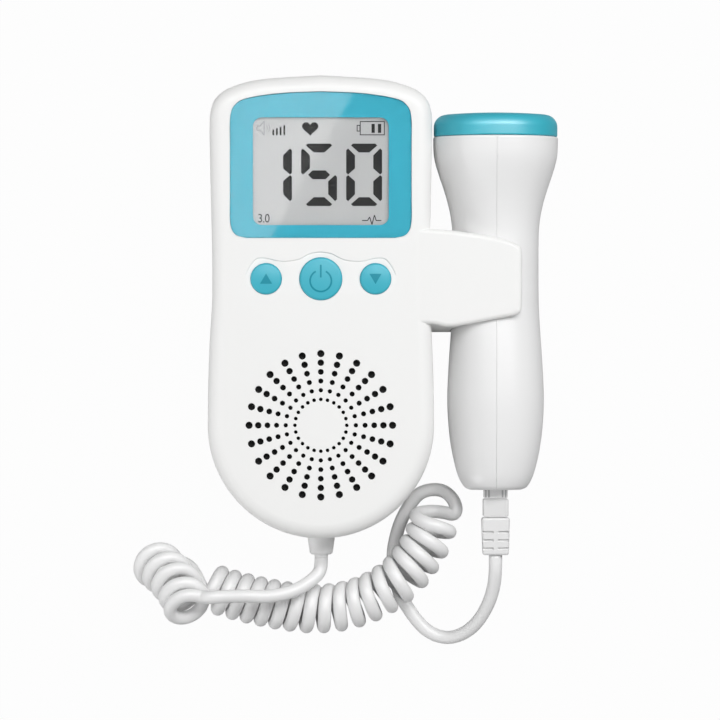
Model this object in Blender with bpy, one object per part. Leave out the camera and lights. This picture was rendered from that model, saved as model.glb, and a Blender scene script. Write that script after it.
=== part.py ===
"""Pocket fetal heartbeat detector: main unit with a clip, probe in the clip, curly cord and plug.

The unit lies on its back. Its length runs along Y, the display faces +Z and the clip is at +X.
Until the last step all places are counted from the middle of the speaker grille, at the floor.
"""
import math

import bmesh
import bpy
from mathutils import Vector

MM = 0.001

# Clearances
GAP = 0.3 * MM
OVERLAP = 0.5 * MM
THROUGH = 1.0 * MM

# Main unit: outline, height, walls
BODY_RADIUS = 33.0 * MM
FRONT_EDGE = 4.2 * MM
REAR_EDGE = 4.0 * MM
WALL = 1.8 * MM
REAR_WALL = 3.4 * MM
EDGE_STEPS = 4
INNER_EDGE_STEPS = 2
REAR_EDGE_STEPS = 3
BOTTOM_STEPS = 8
CORNER_STEPS = 3
# half width beside the probe's head and at the headphone socket, as shares of BODY_RADIUS
HEAD_SIDE_SHARE = 0.983
JACK_SIDE_SHARE = 0.972
# half width as a share of BODY_RADIUS, height as a share of BODY_TOP, from the top to the round end
BODY_SIDE_SHARES = (
    (0.0, 1.0), (0.53, 0.988), (0.797, 0.965), (0.921, 0.937), (0.971, 0.901), (HEAD_SIDE_SHARE, 0.843),
    (JACK_SIDE_SHARE, 0.647), (0.961, 0.50), (0.961, 0.358), (0.981, 0.245), (0.995, 0.12), (1.0, 0.0),
)
# steps of the smooth outline from each row to the next: close together round the top corner
BODY_SIDE_STEPS = (2, 2, 2, 2, 2, 2, 1, 1, 1, 1, 1)

# Grille: six rings of holes; radius of a hole grows from the inner to the outer ring
GRILLE_SPOKES = 24
GRILLE_RINGS = 6
GRILLE_FIRST = 7.54 * MM
GRILLE_STEP = 2.665 * MM
GRILLE_HOLE_FIRST = 0.53 * MM
GRILLE_HOLE_LAST = 1.04 * MM
GRILLE_INNER_SIDES = 6
GRILLE_OUTER_SIDES = 8

# Speaker: as wide as the grille, its parts as shares of its radius
SPEAKER_MARGIN = 0.5 * MM
SPEAKER_RADIUS = GRILLE_FIRST + (GRILLE_RINGS - 1) * GRILLE_STEP + GRILLE_HOLE_LAST + SPEAKER_MARGIN
SPEAKER_WALL = 1.2 * MM
SPEAKER_WALL_TALL = 5.0 * MM
CLOTH_THICK = 0.3 * MM
BASKET_RIM_THICK = 1.0 * MM
BASKET_SKIN = 0.8 * MM
BASKET_DEEP = 7.9 * MM
BASKET_FOOT_SHARE = 0.52
BASKET_BORE_SHARE = 0.18
CONE_THICK = 0.4 * MM
CONE_EDGE = 1.8 * MM
CONE_FOOT_SHARE = 0.22
CONE_DEEP = 4.4 * MM
MAGNET_SHARE = 0.42
MAGNET_THICK = 3.2 * MM
ROUND_STEPS = 20

# Lengthwise order above the speaker: buttons, display, top edge
BUTTON_ROOM = 18.7 * MM
BUTTON_Y = SPEAKER_RADIUS + GAP + SPEAKER_WALL + BUTTON_ROOM
DISPLAY_ROOM = 11.9 * MM
DISPLAY_LONG = 42.6 * MM
TOP_ROOM = 4.9 * MM
LENS_BOTTOM = BUTTON_Y + DISPLAY_ROOM
LENS_TOP = LENS_BOTTOM + DISPLAY_LONG
BODY_TOP = LENS_TOP + TOP_ROOM

# Batteries, and the order of depth above them: bay roof, board, front face
CELL_RADIUS = 7.1 * MM
CELL_PLAY = 0.2 * MM
COVER_THICK = 1.8 * MM
BAY_WALL = 1.2 * MM
CELL_Z = COVER_THICK + GAP + CELL_PLAY + CELL_RADIUS
BAY_ROOF = CELL_Z + CELL_RADIUS + GAP
BOARD_ROOM = 5.6 * MM
BOARD_Z = BAY_ROOF + BAY_WALL + BOARD_ROOM
BOARD_THICK = 1.2 * MM
FACE_ROOM = 9.2 * MM
BODY_DEPTH = BOARD_Z + BOARD_THICK + FACE_ROOM
SEAM_SHARE = 0.459
SEAM_Z = BODY_DEPTH * SEAM_SHARE

# Display
LENS_HALF = 26.35 * MM
LENS_THICK = 0.75 * MM
MASK_THICK = 0.25 * MM
WELL_FLOOR = BODY_DEPTH - LENS_THICK - GAP - MASK_THICK - GAP
WELL_PLATE = 1.1 * MM
WELL_RIM = 1.3 * MM
WINDOW_HALF = 19.75 * MM
WINDOW_LONG = 31.3 * MM
WINDOW_RISE = 19.4 * MM
WINDOW_Y = LENS_BOTTOM + WINDOW_RISE
WINDOW_CORNER = 1.8 * MM
# half width as a share of LENS_HALF, height as a share from LENS_BOTTOM to LENS_TOP
LENS_SHARES = (
    (0.0, 1.0), (0.45, 0.988), (0.816, 0.953), (0.945, 0.908), (0.997, 0.826), (1.0, 0.6),
    (1.0, 0.3), (0.997, 0.1), (0.94, 0.023), (0.82, 0.0), (0.0, 0.0),
)
LENS_STEPS = (2, 2, 2, 2, 2, 1, 1, 2, 2)
LCD_BASE_HALF = 20.8 * MM
LCD_BASE_LONG = 34.6 * MM
LCD_BASE_THICK = 1.4 * MM
FRAME_WALL = 1.2 * MM
FRAME_INSET = 1.6 * MM
ZEBRA_HALF = 17.5 * MM
ZEBRA_WIDE = 2.0 * MM
ZEBRA_INSET = 3.0 * MM

# Buttons: (name, place across, radius)
BUTTON_SIDE_SHARE = 0.482
BUTTON_SIDE = BODY_RADIUS * BUTTON_SIDE_SHARE
SMALL_BUTTON = 4.56 * MM
POWER_BUTTON = 6.24 * MM
BUTTONS = (
    ("volume_up", -BUTTON_SIDE, SMALL_BUTTON),
    ("power", 0.0, POWER_BUTTON),
    ("volume_down", BUTTON_SIDE, SMALL_BUTTON),
)
BUTTON_RISE = 0.95 * MM
BUTTON_ROUND = 0.8 * MM
BUTTON_DOME = 0.35 * MM
# crowned faces of the buttons and the cap: radius, and drop from the crown, as shares
DOME_SHARES = ((0.5, 0.3), (0.15, 0.0))
BUTTON_FLANGE = 1.2 * MM
BUTTON_FLANGE_THICK = 0.9 * MM
BUTTON_STEM = 2.0 * MM
BUTTON_TRAVEL = 0.8 * MM
BUTTON_SIDES = 22
SWITCH_HALF = 3.0 * MM
SWITCH_TALL = 3.5 * MM
SWITCH_BORE = 1.9 * MM
SWITCH_BORE_DEEP = 2.0 * MM
PLUNGER_RADIUS = 1.6 * MM
PLUNGER_TALL = 1.9 * MM

# Shallow hollow round the buttons: right half, from its middle top to where it fades out; across as a
# share of BODY_RADIUS, along as a share of HOLLOW_TALL above BUTTON_Y
HOLLOW_DEEP = 0.45 * MM
HOLLOW_TALL = 8.0 * MM
HOLLOW_FADE_SHARE = -0.625
HOLLOW_SHARES = (
    (0.0, 1.0), (0.094, 0.938), (0.194, 0.738), (0.297, 0.663), (0.379, 0.675), (0.491, 0.775),
    (0.585, 0.7), (0.667, 0.125), (0.648, -0.4), (0.539, HOLLOW_FADE_SHARE),
)
HOLLOW_LIFT = 0.02 * MM

# Main board
BOARD_HALF = 22.4 * MM
BOARD_BOTTOM = 26.4 * MM
BOARD_TOP_ROOM = 7.0 * MM
BOARD_TOP = BODY_TOP - BOARD_TOP_ROOM
BOARD_CORNER = 3.0 * MM
CHIP_HALF = 5.0 * MM
CHIP_THICK = 1.4 * MM
CHIP_SIDE = -7.0 * MM
CHIP_RISE = 5.5 * MM

# Screws
SCREW_UP_SIDE = 25.6 * MM
SCREW_UP_DROP = 18.0 * MM
SCREW_UP = (SCREW_UP_SIDE, BODY_TOP - SCREW_UP_DROP)
SCREW_DOWN = (24.2 * MM, -8.6 * MM)
SCREW_SHAFT = 1.1 * MM
SCREW_HEAD = 2.1 * MM
SCREW_HEAD_TALL = 1.5 * MM
SCREW_SUNK = 1.1 * MM
SCREW_LONG = 17.0 * MM
SCREW_SLOT = 0.5 * MM
SCREW_SLOT_SHARE = 0.65
POST_RADIUS = 2.75 * MM
BOARD_SCREW_AT = (19.4 * MM, 31.0 * MM)
BOARD_SCREW_SHAFT = 0.85 * MM
BOARD_SCREW_HEAD = 1.6 * MM
BOARD_SCREW_HEAD_TALL = 0.9 * MM
BOARD_SCREW_LONG = 5.6 * MM
BOARD_POST = 2.2 * MM
SCREW_SIDES = 12

# Headphone socket on the left side
JACK_RISE = 10.5 * MM
JACK_Y = LENS_BOTTOM + JACK_RISE
JACK_HALF = 3.0 * MM
JACK_DEPTH = 5.4 * MM
JACK_DROP = 0.5 * MM
JACK_Z = BOARD_Z - JACK_DROP - JACK_DEPTH / 2
JACK_LONG = 11.0 * MM
JACK_NOSE = 2.7 * MM
JACK_NOSE_LONG = 2.6 * MM
JACK_BORE = 1.75 * MM
JACK_BORE_DEEP = 11.5 * MM

# Battery bay
CELL_LONG = 49.2 * MM
CELL_NUB = 2.6 * MM
CELL_NUB_LONG = 1.0 * MM
BAY_BOTTOM = -19.5 * MM
CONTACT_THICK = 0.5 * MM
CONTACT_HALF = 5.2 * MM
SPRING_LONG = 3.9 * MM
SPRING_RADIUS = 3.4 * MM
SPRING_WIRE = 0.8 * MM
SPRING_TURNS = 2
SPRING_POINTS = 10
COVER_MARGIN = 1.85 * MM
COVER_LIP = 1.5 * MM
COVER_GROOVES = 5
COVER_GROOVE_PITCH = 2.2 * MM
COVER_GROOVE_DEEP = 0.5 * MM
COVER_GROOVE_WIDE = 0.9 * MM
COVER_GROOVE_HALF = 8.0 * MM
COVER_GROOVE_DROP = 17.0 * MM

# Probe, turned about an axis along Y: its head clears the unit's side and the table
HEAD_RADIUS = 18.3 * MM
HEAD_CLEAR = 0.45 * MM
PROBE_X = BODY_RADIUS * HEAD_SIDE_SHARE + HEAD_CLEAR + HEAD_RADIUS
PROBE_Z = HEAD_RADIUS + GAP
PROBE_WALL = 1.8 * MM
PROBE_STEPS = 12
PROBE_FOOT = -19.0 * MM
PROBE_LONG = 103.4 * MM
# radius of the narrow part of the handle as a share of the head's
HANDLE_SHARE = 0.69
# height from the foot as a share of the length, radius as a share of the head's
PROBE_SHARES = (
    (0.0, 0.415), (0.008, 0.503), (0.033, 0.587), (0.068, 0.650), (0.113, 0.705), (0.169, 0.749),
    (0.242, 0.774), (0.310, 0.765), (0.387, 0.740), (0.469, 0.708), (0.551, HANDLE_SHARE),
    (0.706, HANDLE_SHARE), (0.763, 0.710), (0.808, 0.760), (0.848, 0.825), (0.885, 0.896), (0.923, 0.962),
    (0.954, 0.992), (1.0, 1.0),
)
HANDLE_RADIUS = HEAD_RADIUS * HANDLE_SHARE
CAP_STEP = 0.15 * MM
CAP_RADIUS = HEAD_RADIUS - CAP_STEP
CAP_TALL = 6.8 * MM
CAP_ROUND = 3.6 * MM
CAP_CROWN = 0.6 * MM
CAP_WALL = 1.6 * MM
CAP_SPIGOT = 3.6 * MM
CAP_STEPS = 24
BACKING_RADIUS = HEAD_RADIUS - PROBE_WALL - GAP - CAP_WALL - 2 * GAP
BACKING_THICK = 4.6 * MM
CRYSTAL_STEP = 0.8 * MM
CRYSTAL_RADIUS = BACKING_RADIUS - CRYSTAL_STEP
CRYSTAL_THICK = 1.2 * MM
PROBE_BOARD_TO = 38.0 * MM
PROBE_BOARD_THICK = 1.2 * MM
PROBE_BOARD_PLAY = 0.1 * MM
PROBE_CHIP_HALF = 2.5 * MM
PROBE_CHIP_THICK = 1.0 * MM
PROBE_CHIP_Y = 24.0 * MM

# Clip
CLIP_GAP = 0.4 * MM
CLIP_WALL = 2.25 * MM
CLIP_TOP = PROBE_Z + HANDLE_RADIUS + CLIP_GAP + CLIP_WALL
CLIP_ROOT_IN = 7.5 * MM
CLIP_ROOT = BODY_RADIUS - CLIP_ROOT_IN
CLIP_ROUND = 1.3 * MM
CLIP_SLAB = 5.4 * MM
CLIP_REAR_SLAB = 3.2 * MM
# the stretch of the probe that the clip is cut for, as shares of its length
CHANNEL_SHARES = (0.15, 0.86)
WEB_IN = 2.1 * MM
WEB_FROM = BODY_RADIUS - WEB_IN
WEB_SHORT = 10.7 * MM
WEB_TO = PROBE_X - WEB_SHORT
WEB_DRAFT = 2.4 * MM
CLIP_LOW = 29.6 * MM
CLIP_TALL = 28.0 * MM
# outline of the arms, anticlockwise from the root at the bottom: share of the way from the root to
# the probe's axis, share of the height
CLIP_SHARES = (
    (0.0, 0.0), (0.292, -0.007), (0.498, -0.032), (1.0, 0.05), (1.171, 0.079), (1.253, 0.104), (1.28, 0.15),
    (1.286, 0.3), (1.286, 0.621), (1.284, 0.757), (1.249, 0.811), (1.163, 0.85), (1.0, 0.896), (0.603, 0.954),
    (0.272, 0.982), (0.0, 1.0),
)

# Plug and its socket in the probe
TONGUE_HALF = 3.5 * MM
TONGUE_TALL = 2.4 * MM
TONGUE_IN = 9.0 * MM
TONGUE_OUT = 2.4 * MM
SOCKET_HALF = 5.2 * MM
SOCKET_TALL = 4.0 * MM
SOCKET_LONG = 12.4 * MM
SOCKET_MARGIN = 1.4 * MM
PLUG_HALF = 3.74 * MM
PLUG_TALL = 2.9 * MM
PLUG_LONG = 5.2 * MM
BOOT_HALF = 4.15 * MM
BOOT_TALL = 3.2 * MM
BOOT_LONG = 11.0 * MM
BOOT_SLOTS = 3
BOOT_SLOT_FIRST = 3.9 * MM
BOOT_SLOT_PITCH = 2.42 * MM
BOOT_SLOT_WIDE = 0.75 * MM
BOOT_SPINE = 0.65 * MM
BOOT_CORE = 2.35 * MM
PLUG_ROUND = 0.7 * MM

# Strain relief where the cord leaves the unit
RELIEF_HALF = 4.0 * MM
RELIEF_TALL = 3.3 * MM
RELIEF_END_HALF = 3.4 * MM
RELIEF_END_TALL = 3.0 * MM
RELIEF_LONG = 5.6 * MM
RELIEF_STEP = 3.2 * MM
RELIEF_NECK = 3.2 * MM
RELIEF_FLANGE = 4.8 * MM
RELIEF_FLANGE_THICK = 1.2 * MM
RELIEF_SIDES = 16

# Curly cord
CORD = 3.6 * MM
CURL_RADIUS = 5.75 * MM
CURL_GAP = 0.68 * MM
CURL_POINTS = 8
AXIS_STEPS = 60
AXIS_SAMPLES = 801
BEND_WINDOW = 61
# the inner side of a bend shrinks the room for the cord to this share at most
TIGHTEST_SHARE = 0.35

# The routes are laid round a unit of this radius, in millimetres, and stretch with it
ROUTE_UNIT = 33.0
# Route of the back coil's axis, from the probe's end to the far end
BACK_COIL = (
    (33.5, -26.0, 12.6), (32.7, -30.3, 12.1), (30.8, -35.0, 12.1), (27.9, -39.7, 12.1), (24.1, -44.4, 12.1),
    (19.1, -48.4, 11.5), (12.9, -51.7, 10.2), (5.5, -53.9, 8.8), (-2.8, -54.5, 8.0), (-10.7, -53.7, 7.95),
    (-18.7, -52.2, 7.95), (-26.4, -50.3, 7.95), (-32.3, -48.4, 7.95), (-37.0, -46.6, 7.95),
)
BACK_FIRST_ANGLE = 235.0
BACK_TURNS = 16.8
# Route of the raised end coil's axis, from its low end to the open end
RAISED_COIL = ((-49.7, -40.6, 8.4), (-45.8, -43.5, 13.8), (-41.4, -48.3, 18.8), (-38.1, -55.1, 23.6))
RAISED_FIRST_ANGLE = 225.0
RAISED_SKIP = 0.1
LINK_PULL_BACK = 20.0 * MM
LINK_PULL_RAISED = 28.0 * MM
LINK_POINTS = 9
# Lead from the raised coil over the back coil to the unit
UNIT_LEAD = (
    (-32.0, -50.3, 27.6), (-27.4, -50.1, 26.0), (-21.7, -50.1, 23.6), (-15.9, -50.3, 22.0),
    (-10.1, -49.4, 20.2), (-5.8, -47.7, 18.8), (-2.6, -45.5, 17.4),
)
UNIT_LEAD_POINTS = 16
# Loop from the back coil, round its end and down under it to the joint with the probe's lead
LOOP_LEAD = (
    (39.6, -27.0, 9.4), (39.8, -24.1, 8.6), (38.3, -21.4, 7.2), (35.9, -19.6, 5.6), (32.3, -19.4, 4.0),
    (28.9, -20.6, 2.8), (26.0, -24.2, 2.2), (23.2, -29.6, 2.1), (21.5, -36.0, 2.1), (21.2, -40.0, 2.1),
)
LOOP_LEAD_POINTS = 15
JOINT = (22.2, -46.9, 2.1)
JOINT_ANGLE = -76.5
# Lead from the joint round to the plug
PROBE_LEAD = (
    (24.8, -53.2, 2.1), (27.8, -57.7, 2.1), (31.6, -61.5, 2.3), (36.4, -63.3, 3.2), (41.0, -62.4, 5.8),
    (45.3, -59.2, 9.2), (48.7, -53.9, 12.8), (50.7, -47.8, 16.0),
)
PROBE_LEAD_POINTS = 20
ROUTE_STEPS = 12
STRAIGHT_END = 3.8 * MM

PARTS = bpy.data.collections.new("parts")
CUTTERS = bpy.data.collections.new("cutters")


def metres(points):
    """Turns a table in millimetres into vectors in metres."""
    return [Vector(point) * MM for point in points]


def laid(points):
    """Turns a table of cord route points into vectors in metres, stretched with the unit's width."""
    stretch = BODY_RADIUS / (ROUTE_UNIT * MM)
    return [Vector((x * stretch, y * stretch, z)) * MM for x, y, z in points]


def smooth_line(points, steps):
    """Points of a smooth curve through the given ones; steps from each to the next: one count, or a row."""
    counts = steps if isinstance(steps, tuple) else (steps,) * (len(points) - 1)
    row = [points[0] * 2 - points[1]] + list(points) + [points[-1] * 2 - points[-2]]
    line = []
    for before, start, end, after, count in zip(row, row[1:], row[2:], row[3:], counts):
        for step in range(count):
            t = step / count
            line.append(0.5 * (start * 2 + (end - before) * t
                               + (before * 2 - start * 5 + end * 4 - after) * t ** 2
                               + (start * 3 - before - end * 3 + after) * t ** 3))
    line.append(points[-1].copy())
    return line


def spaced(line, count):
    """Count points evenly spaced along a line of many points."""
    along = [0.0]
    for start, end in zip(line, line[1:]):
        along.append(along[-1] + (end - start).length)
    result = []
    at = 0
    for index in range(count):
        goal = along[-1] * index / (count - 1)
        while at < len(line) - 2 and along[at + 1] < goal:
            at += 1
        share = (goal - along[at]) / (along[at + 1] - along[at])
        result.append(line[at].lerp(line[at + 1], share))
    return result


def mirrored(half):
    """Closed outline from its right half, given from the top middle to the bottom middle."""
    left = [Vector((-point.x, point.y)) for point in reversed(half) if abs(point.x) > MM * MM]
    return half + left


def body_outline():
    """Outline of the unit seen from the front, clockwise from its top middle."""
    points = [Vector((BODY_RADIUS * x, BODY_TOP * y)) for x, y in BODY_SIDE_SHARES]
    half = smooth_line(points, BODY_SIDE_STEPS)
    for step in range(1, BOTTOM_STEPS):
        angle = math.pi / 2 * step / BOTTOM_STEPS
        half.append(Vector((BODY_RADIUS * math.cos(angle), -BODY_RADIUS * math.sin(angle))))
    half.append(Vector((0.0, -BODY_RADIUS)))
    return mirrored(half)


def lens_outline():
    """Outline of the display lens, clockwise from its top middle."""
    tall = LENS_TOP - LENS_BOTTOM
    points = [Vector((LENS_HALF * x, LENS_BOTTOM + tall * y)) for x, y in LENS_SHARES]
    return mirrored(smooth_line(points[:-1], LENS_STEPS) + points[-1:])


def rounded_outline(x_half, y_low, y_high, corner, steps=CORNER_STEPS):
    """Clockwise rectangle about the middle of X with round corners."""
    outline = []
    x = x_half - corner
    centres = ((x, y_high - corner), (x, y_low + corner), (-x, y_low + corner), (-x, y_high - corner))
    for quarter, centre in enumerate(centres):
        for step in range(steps + 1):
            angle = math.pi / 2 * (1 - quarter - step / steps)
            outline.append(Vector(centre) + corner * Vector((math.cos(angle), math.sin(angle))))
    return outline


def inset(outline, amount):
    """Clockwise outline moved inwards by amount."""
    result = []
    for index, point in enumerate(outline):
        before = (point - outline[index - 1]).normalized()
        after = (outline[(index + 1) % len(outline)] - point).normalized()
        inward = Vector((before.y + after.y, -before.x - after.x)).normalized()
        square = max(0.5, inward.dot(Vector((before.y, -before.x))))
        result.append(point + inward * (amount / square))
    return result


def level(outline, z):
    """Outline as points at one height."""
    return [Vector((point.x, point.y, z)) for point in outline]


def skin(bm, rings, closed=False):
    """Adds one closed solid through rings of equal counts; flat ends, or joined end to start."""
    rows = [[bm.verts.new(point) for point in ring] for ring in rings]
    pairs = list(zip(rows, rows[1:]))
    if closed:
        pairs.append((rows[-1], rows[0]))
    else:
        bm.faces.new(rows[0])
        bm.faces.new(rows[-1])
    for low, high in pairs:
        for index in range(len(low)):
            after = (index + 1) % len(low)
            bm.faces.new((low[index], low[after], high[after], high[index]))


def prism(bm, outline, low, high):
    """Adds a straight solid on an outline between two heights."""
    skin(bm, [level(outline, low), level(outline, high)])


def box(bm, low, high):
    """Adds a box between two corners."""
    outline = [Vector((low[0], low[1])), Vector((high[0], low[1])),
               Vector((high[0], high[1])), Vector((low[0], high[1]))]
    prism(bm, outline, low[2], high[2])


def turned(bm, profile, centre, axis, steps, start=0.0, sweep=math.tau):
    """Adds the solid that a closed profile of (along, radius) pairs makes when turned about an axis."""
    along = Vector(axis)
    side = Vector((0.0, 0.0, 1.0)) if abs(along.z) < 0.5 else Vector((1.0, 0.0, 0.0))
    other = along.cross(side)
    full = abs(sweep - math.tau) < MM
    rings = []
    for step in range(steps if full else steps + 1):
        angle = start + sweep * step / steps
        out = side * math.cos(angle) + other * math.sin(angle)
        rings.append([Vector(centre) + along * place + out * radius for place, radius in profile])
    skin(bm, rings, closed=full)


def spindle(bm, profile, centre, axis, steps):
    """Adds a round solid with flat ends from (along, radius) pairs given from one end to the other."""
    along = Vector(axis)
    side = Vector((0.0, 0.0, 1.0)) if abs(along.z) < 0.5 else Vector((1.0, 0.0, 0.0))
    other = along.cross(side)
    rings = []
    for place, radius in profile:
        ring = []
        for step in range(steps):
            angle = math.tau * step / steps
            out = side * math.cos(angle) + other * math.sin(angle)
            ring.append(Vector(centre) + along * place + out * radius)
        rings.append(ring)
    skin(bm, rings)


def paint(name, colour, rough, clear=0.0):
    """Plain material of one piece."""
    made = bpy.data.materials.new(name)
    made.use_nodes = True
    shader = made.node_tree.nodes["Principled BSDF"]
    shader.inputs["Base Color"].default_value = (*colour, 1.0)
    shader.inputs["Roughness"].default_value = rough
    shader.inputs["Transmission Weight"].default_value = clear
    return made


def finish(name, bm, look, origin=(0.0, 0.0, 0.0)):
    """Makes the named piece from a bmesh, with its own material and its origin where given."""
    bmesh.ops.recalc_face_normals(bm, faces=bm.faces)
    bmesh.ops.translate(bm, verts=bm.verts, vec=-Vector(origin))
    mesh = bpy.data.meshes.new(name)
    bm.to_mesh(mesh)
    bm.free()
    piece = bpy.data.objects.new(name, mesh)
    piece.location = origin
    PARTS.objects.link(piece)
    mesh.materials.append(paint(name, *look))
    return piece


def tool(name, bm):
    """Makes a hidden solid for a Boolean step."""
    bmesh.ops.recalc_face_normals(bm, faces=bm.faces)
    mesh = bpy.data.meshes.new(name)
    bm.to_mesh(mesh)
    bm.free()
    cutter = bpy.data.objects.new(name, mesh)
    cutter.hide_render = True
    cutter.display_type = "WIRE"
    CUTTERS.objects.link(cutter)
    return cutter


def combine(piece, operation, bm):
    """Adds one Boolean step to a piece."""
    step = piece.modifiers.new(operation.lower(), "BOOLEAN")
    step.operation = operation
    step.solver = "EXACT"
    step.object = tool(f"{piece.name}_{operation.lower()}_{len(piece.modifiers)}", bm)


def both_sides(place):
    """The place and its mirror image across the middle of the unit."""
    return ((place[0], place[1]), (-place[0], place[1]))


def screw_places():
    """Places of the four screws that hold the housing together."""
    return both_sides(SCREW_UP) + both_sides(SCREW_DOWN)


def probe_profile(grow):
    """Radius of the probe along Y, made larger by grow."""
    return [(PROBE_FOOT + PROBE_LONG * along, HEAD_RADIUS * share + grow) for along, share in PROBE_SHARES]


WHITE = ((0.86, 0.87, 0.87), 0.35)
TEAL = ((0.06, 0.42, 0.55), 0.35)
GREY = ((0.45, 0.46, 0.47), 0.5)
DARK = ((0.03, 0.03, 0.03), 0.8)
METAL = ((0.6, 0.6, 0.6), 0.3)
BOARD_GREEN = ((0.03, 0.2, 0.08), 0.5)


def edge_rings(outline, flat_z, edge, wall, steps, upward):
    """Rings of a rounded edge, from the side wall to the flat face, inside by wall."""
    sign = 1.0 if upward else -1.0
    rings = []
    for step in range(steps + 1):
        angle = math.pi / 2 * step / steps
        in_by = wall + edge * (1.0 - math.cos(angle))
        z = flat_z - sign * edge * (1.0 - math.sin(angle))
        rings.append(level(inset(outline, in_by), z))
    return rings


def front_shell():
    """Front half of the housing before anything is added: round-edged skin, open at the seam."""
    outline = body_outline()
    low = SEAM_Z + GAP / 2
    outer = [level(outline, low)] + edge_rings(outline, BODY_DEPTH, FRONT_EDGE, 0.0, EDGE_STEPS, True)
    inner_edge = FRONT_EDGE - WALL
    inner = [level(inset(outline, WALL), low)]
    inner += edge_rings(outline, BODY_DEPTH - WALL, inner_edge, WALL, INNER_EDGE_STEPS, True)
    bm = bmesh.new()
    skin(bm, list(reversed(outer)) + inner)
    return finish("front_housing", bm, WHITE)


def rear_shell():
    """Rear half of the housing before anything is added: round-edged tray with a thick floor."""
    outline = body_outline()
    high = SEAM_Z - GAP / 2
    outer = [level(outline, high)] + edge_rings(outline, 0.0, REAR_EDGE, 0.0, REAR_EDGE_STEPS, False)
    inner = [level(inset(outline, WALL), high)]
    inner += edge_rings(outline, REAR_WALL, REAR_EDGE - WALL, WALL, INNER_EDGE_STEPS, False)
    bm = bmesh.new()
    skin(bm, list(reversed(outer)) + inner)
    return finish("rear_housing", bm, WHITE)


def clip_outline():
    """Outline of both clip arms, clockwise."""
    reach = PROBE_X - CLIP_ROOT
    return [Vector((CLIP_ROOT + reach * x, CLIP_LOW + CLIP_TALL * y)) for x, y in reversed(CLIP_SHARES)]


def clip_arm(bm, flat_z, slab, upward):
    """Adds one clip arm: a slab with a rounded outer edge."""
    outline = clip_outline()
    sign = 1.0 if upward else -1.0
    rings = [level(outline, flat_z - sign * slab)]
    rings += edge_rings(outline, flat_z, CLIP_ROUND, 0.0, 3, upward)
    skin(bm, rings)


def clip_web(bm, end_z, seam_z):
    """Adds the wall between the unit and the probe, wider towards the seam."""
    far = CLIP_LOW + CLIP_TALL
    near = CLIP_LOW
    middle = (end_z + seam_z) / 2
    rings = []
    for z, draft in ((end_z, 0.0), (middle, WEB_DRAFT), (seam_z, WEB_DRAFT)):
        rings.append([Vector((WEB_FROM, near - draft, z)), Vector((WEB_TO, near - draft, z)),
                      Vector((WEB_TO, far - OVERLAP, z)), Vector((WEB_FROM, far - OVERLAP, z))])
    skin(bm, rings)


def channel_cutter(sideways):
    """Space that the probe takes in the clip, and the way by which it slides out along +X."""
    bm = bmesh.new()
    low, high = (PROBE_FOOT + PROBE_LONG * share for share in CHANNEL_SHARES)
    span = [pair for pair in probe_profile(CLIP_GAP) if low < pair[0] < high]
    if not sideways:
        spindle(bm, span, (PROBE_X, 0.0, PROBE_Z), (0.0, 1.0, 0.0), 2 * PROBE_STEPS)
        return bm
    rings = []
    for x in (PROBE_X, PROBE_X + BODY_RADIUS):
        ring = [Vector((x, place, PROBE_Z + radius)) for place, radius in span]
        ring += [Vector((x, place, PROBE_Z - radius)) for place, radius in reversed(span)]
        rings.append(ring)
    skin(bm, rings)
    return bm


def cut_channel(piece):
    """Takes the probe's space and its way out from a housing half."""
    combine(piece, "DIFFERENCE", channel_cutter(False))
    combine(piece, "DIFFERENCE", channel_cutter(True))


def grille_holes(bm):
    """Adds the cutters of all speaker holes."""
    for ring in range(GRILLE_RINGS):
        share = ring / (GRILLE_RINGS - 1)
        radius = GRILLE_HOLE_FIRST + (GRILLE_HOLE_LAST - GRILLE_HOLE_FIRST) * share
        sides = GRILLE_OUTER_SIDES if ring >= GRILLE_RINGS / 2 else GRILLE_INNER_SIDES
        reach = GRILLE_FIRST + GRILLE_STEP * ring
        for spoke in range(GRILLE_SPOKES):
            angle = math.tau * spoke / GRILLE_SPOKES
            centre = (reach * math.sin(angle), reach * math.cos(angle), BODY_DEPTH - WALL - OVERLAP)
            spindle(bm, ((0.0, radius), (WALL + 2 * OVERLAP, radius)), centre, (0.0, 0.0, 1.0), sides)


def hollow_cutter(bm):
    """Adds the sloping hollow round the buttons, which fades out towards the grille."""
    points = [Vector((BODY_RADIUS * x, BUTTON_Y + HOLLOW_TALL * y)) for x, y in HOLLOW_SHARES]
    outline = mirrored(smooth_line(points, 2))
    top_y = BUTTON_Y + HOLLOW_TALL
    fade_y = BUTTON_Y + HOLLOW_TALL * HOLLOW_FADE_SHARE
    low = []
    for point in outline:
        share = (point.y - fade_y) / (top_y - fade_y)
        low.append(Vector((point.x, point.y, BODY_DEPTH + HOLLOW_LIFT - HOLLOW_DEEP * share)))
    skin(bm, [low, level(outline, BODY_DEPTH + THROUGH)])


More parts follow.
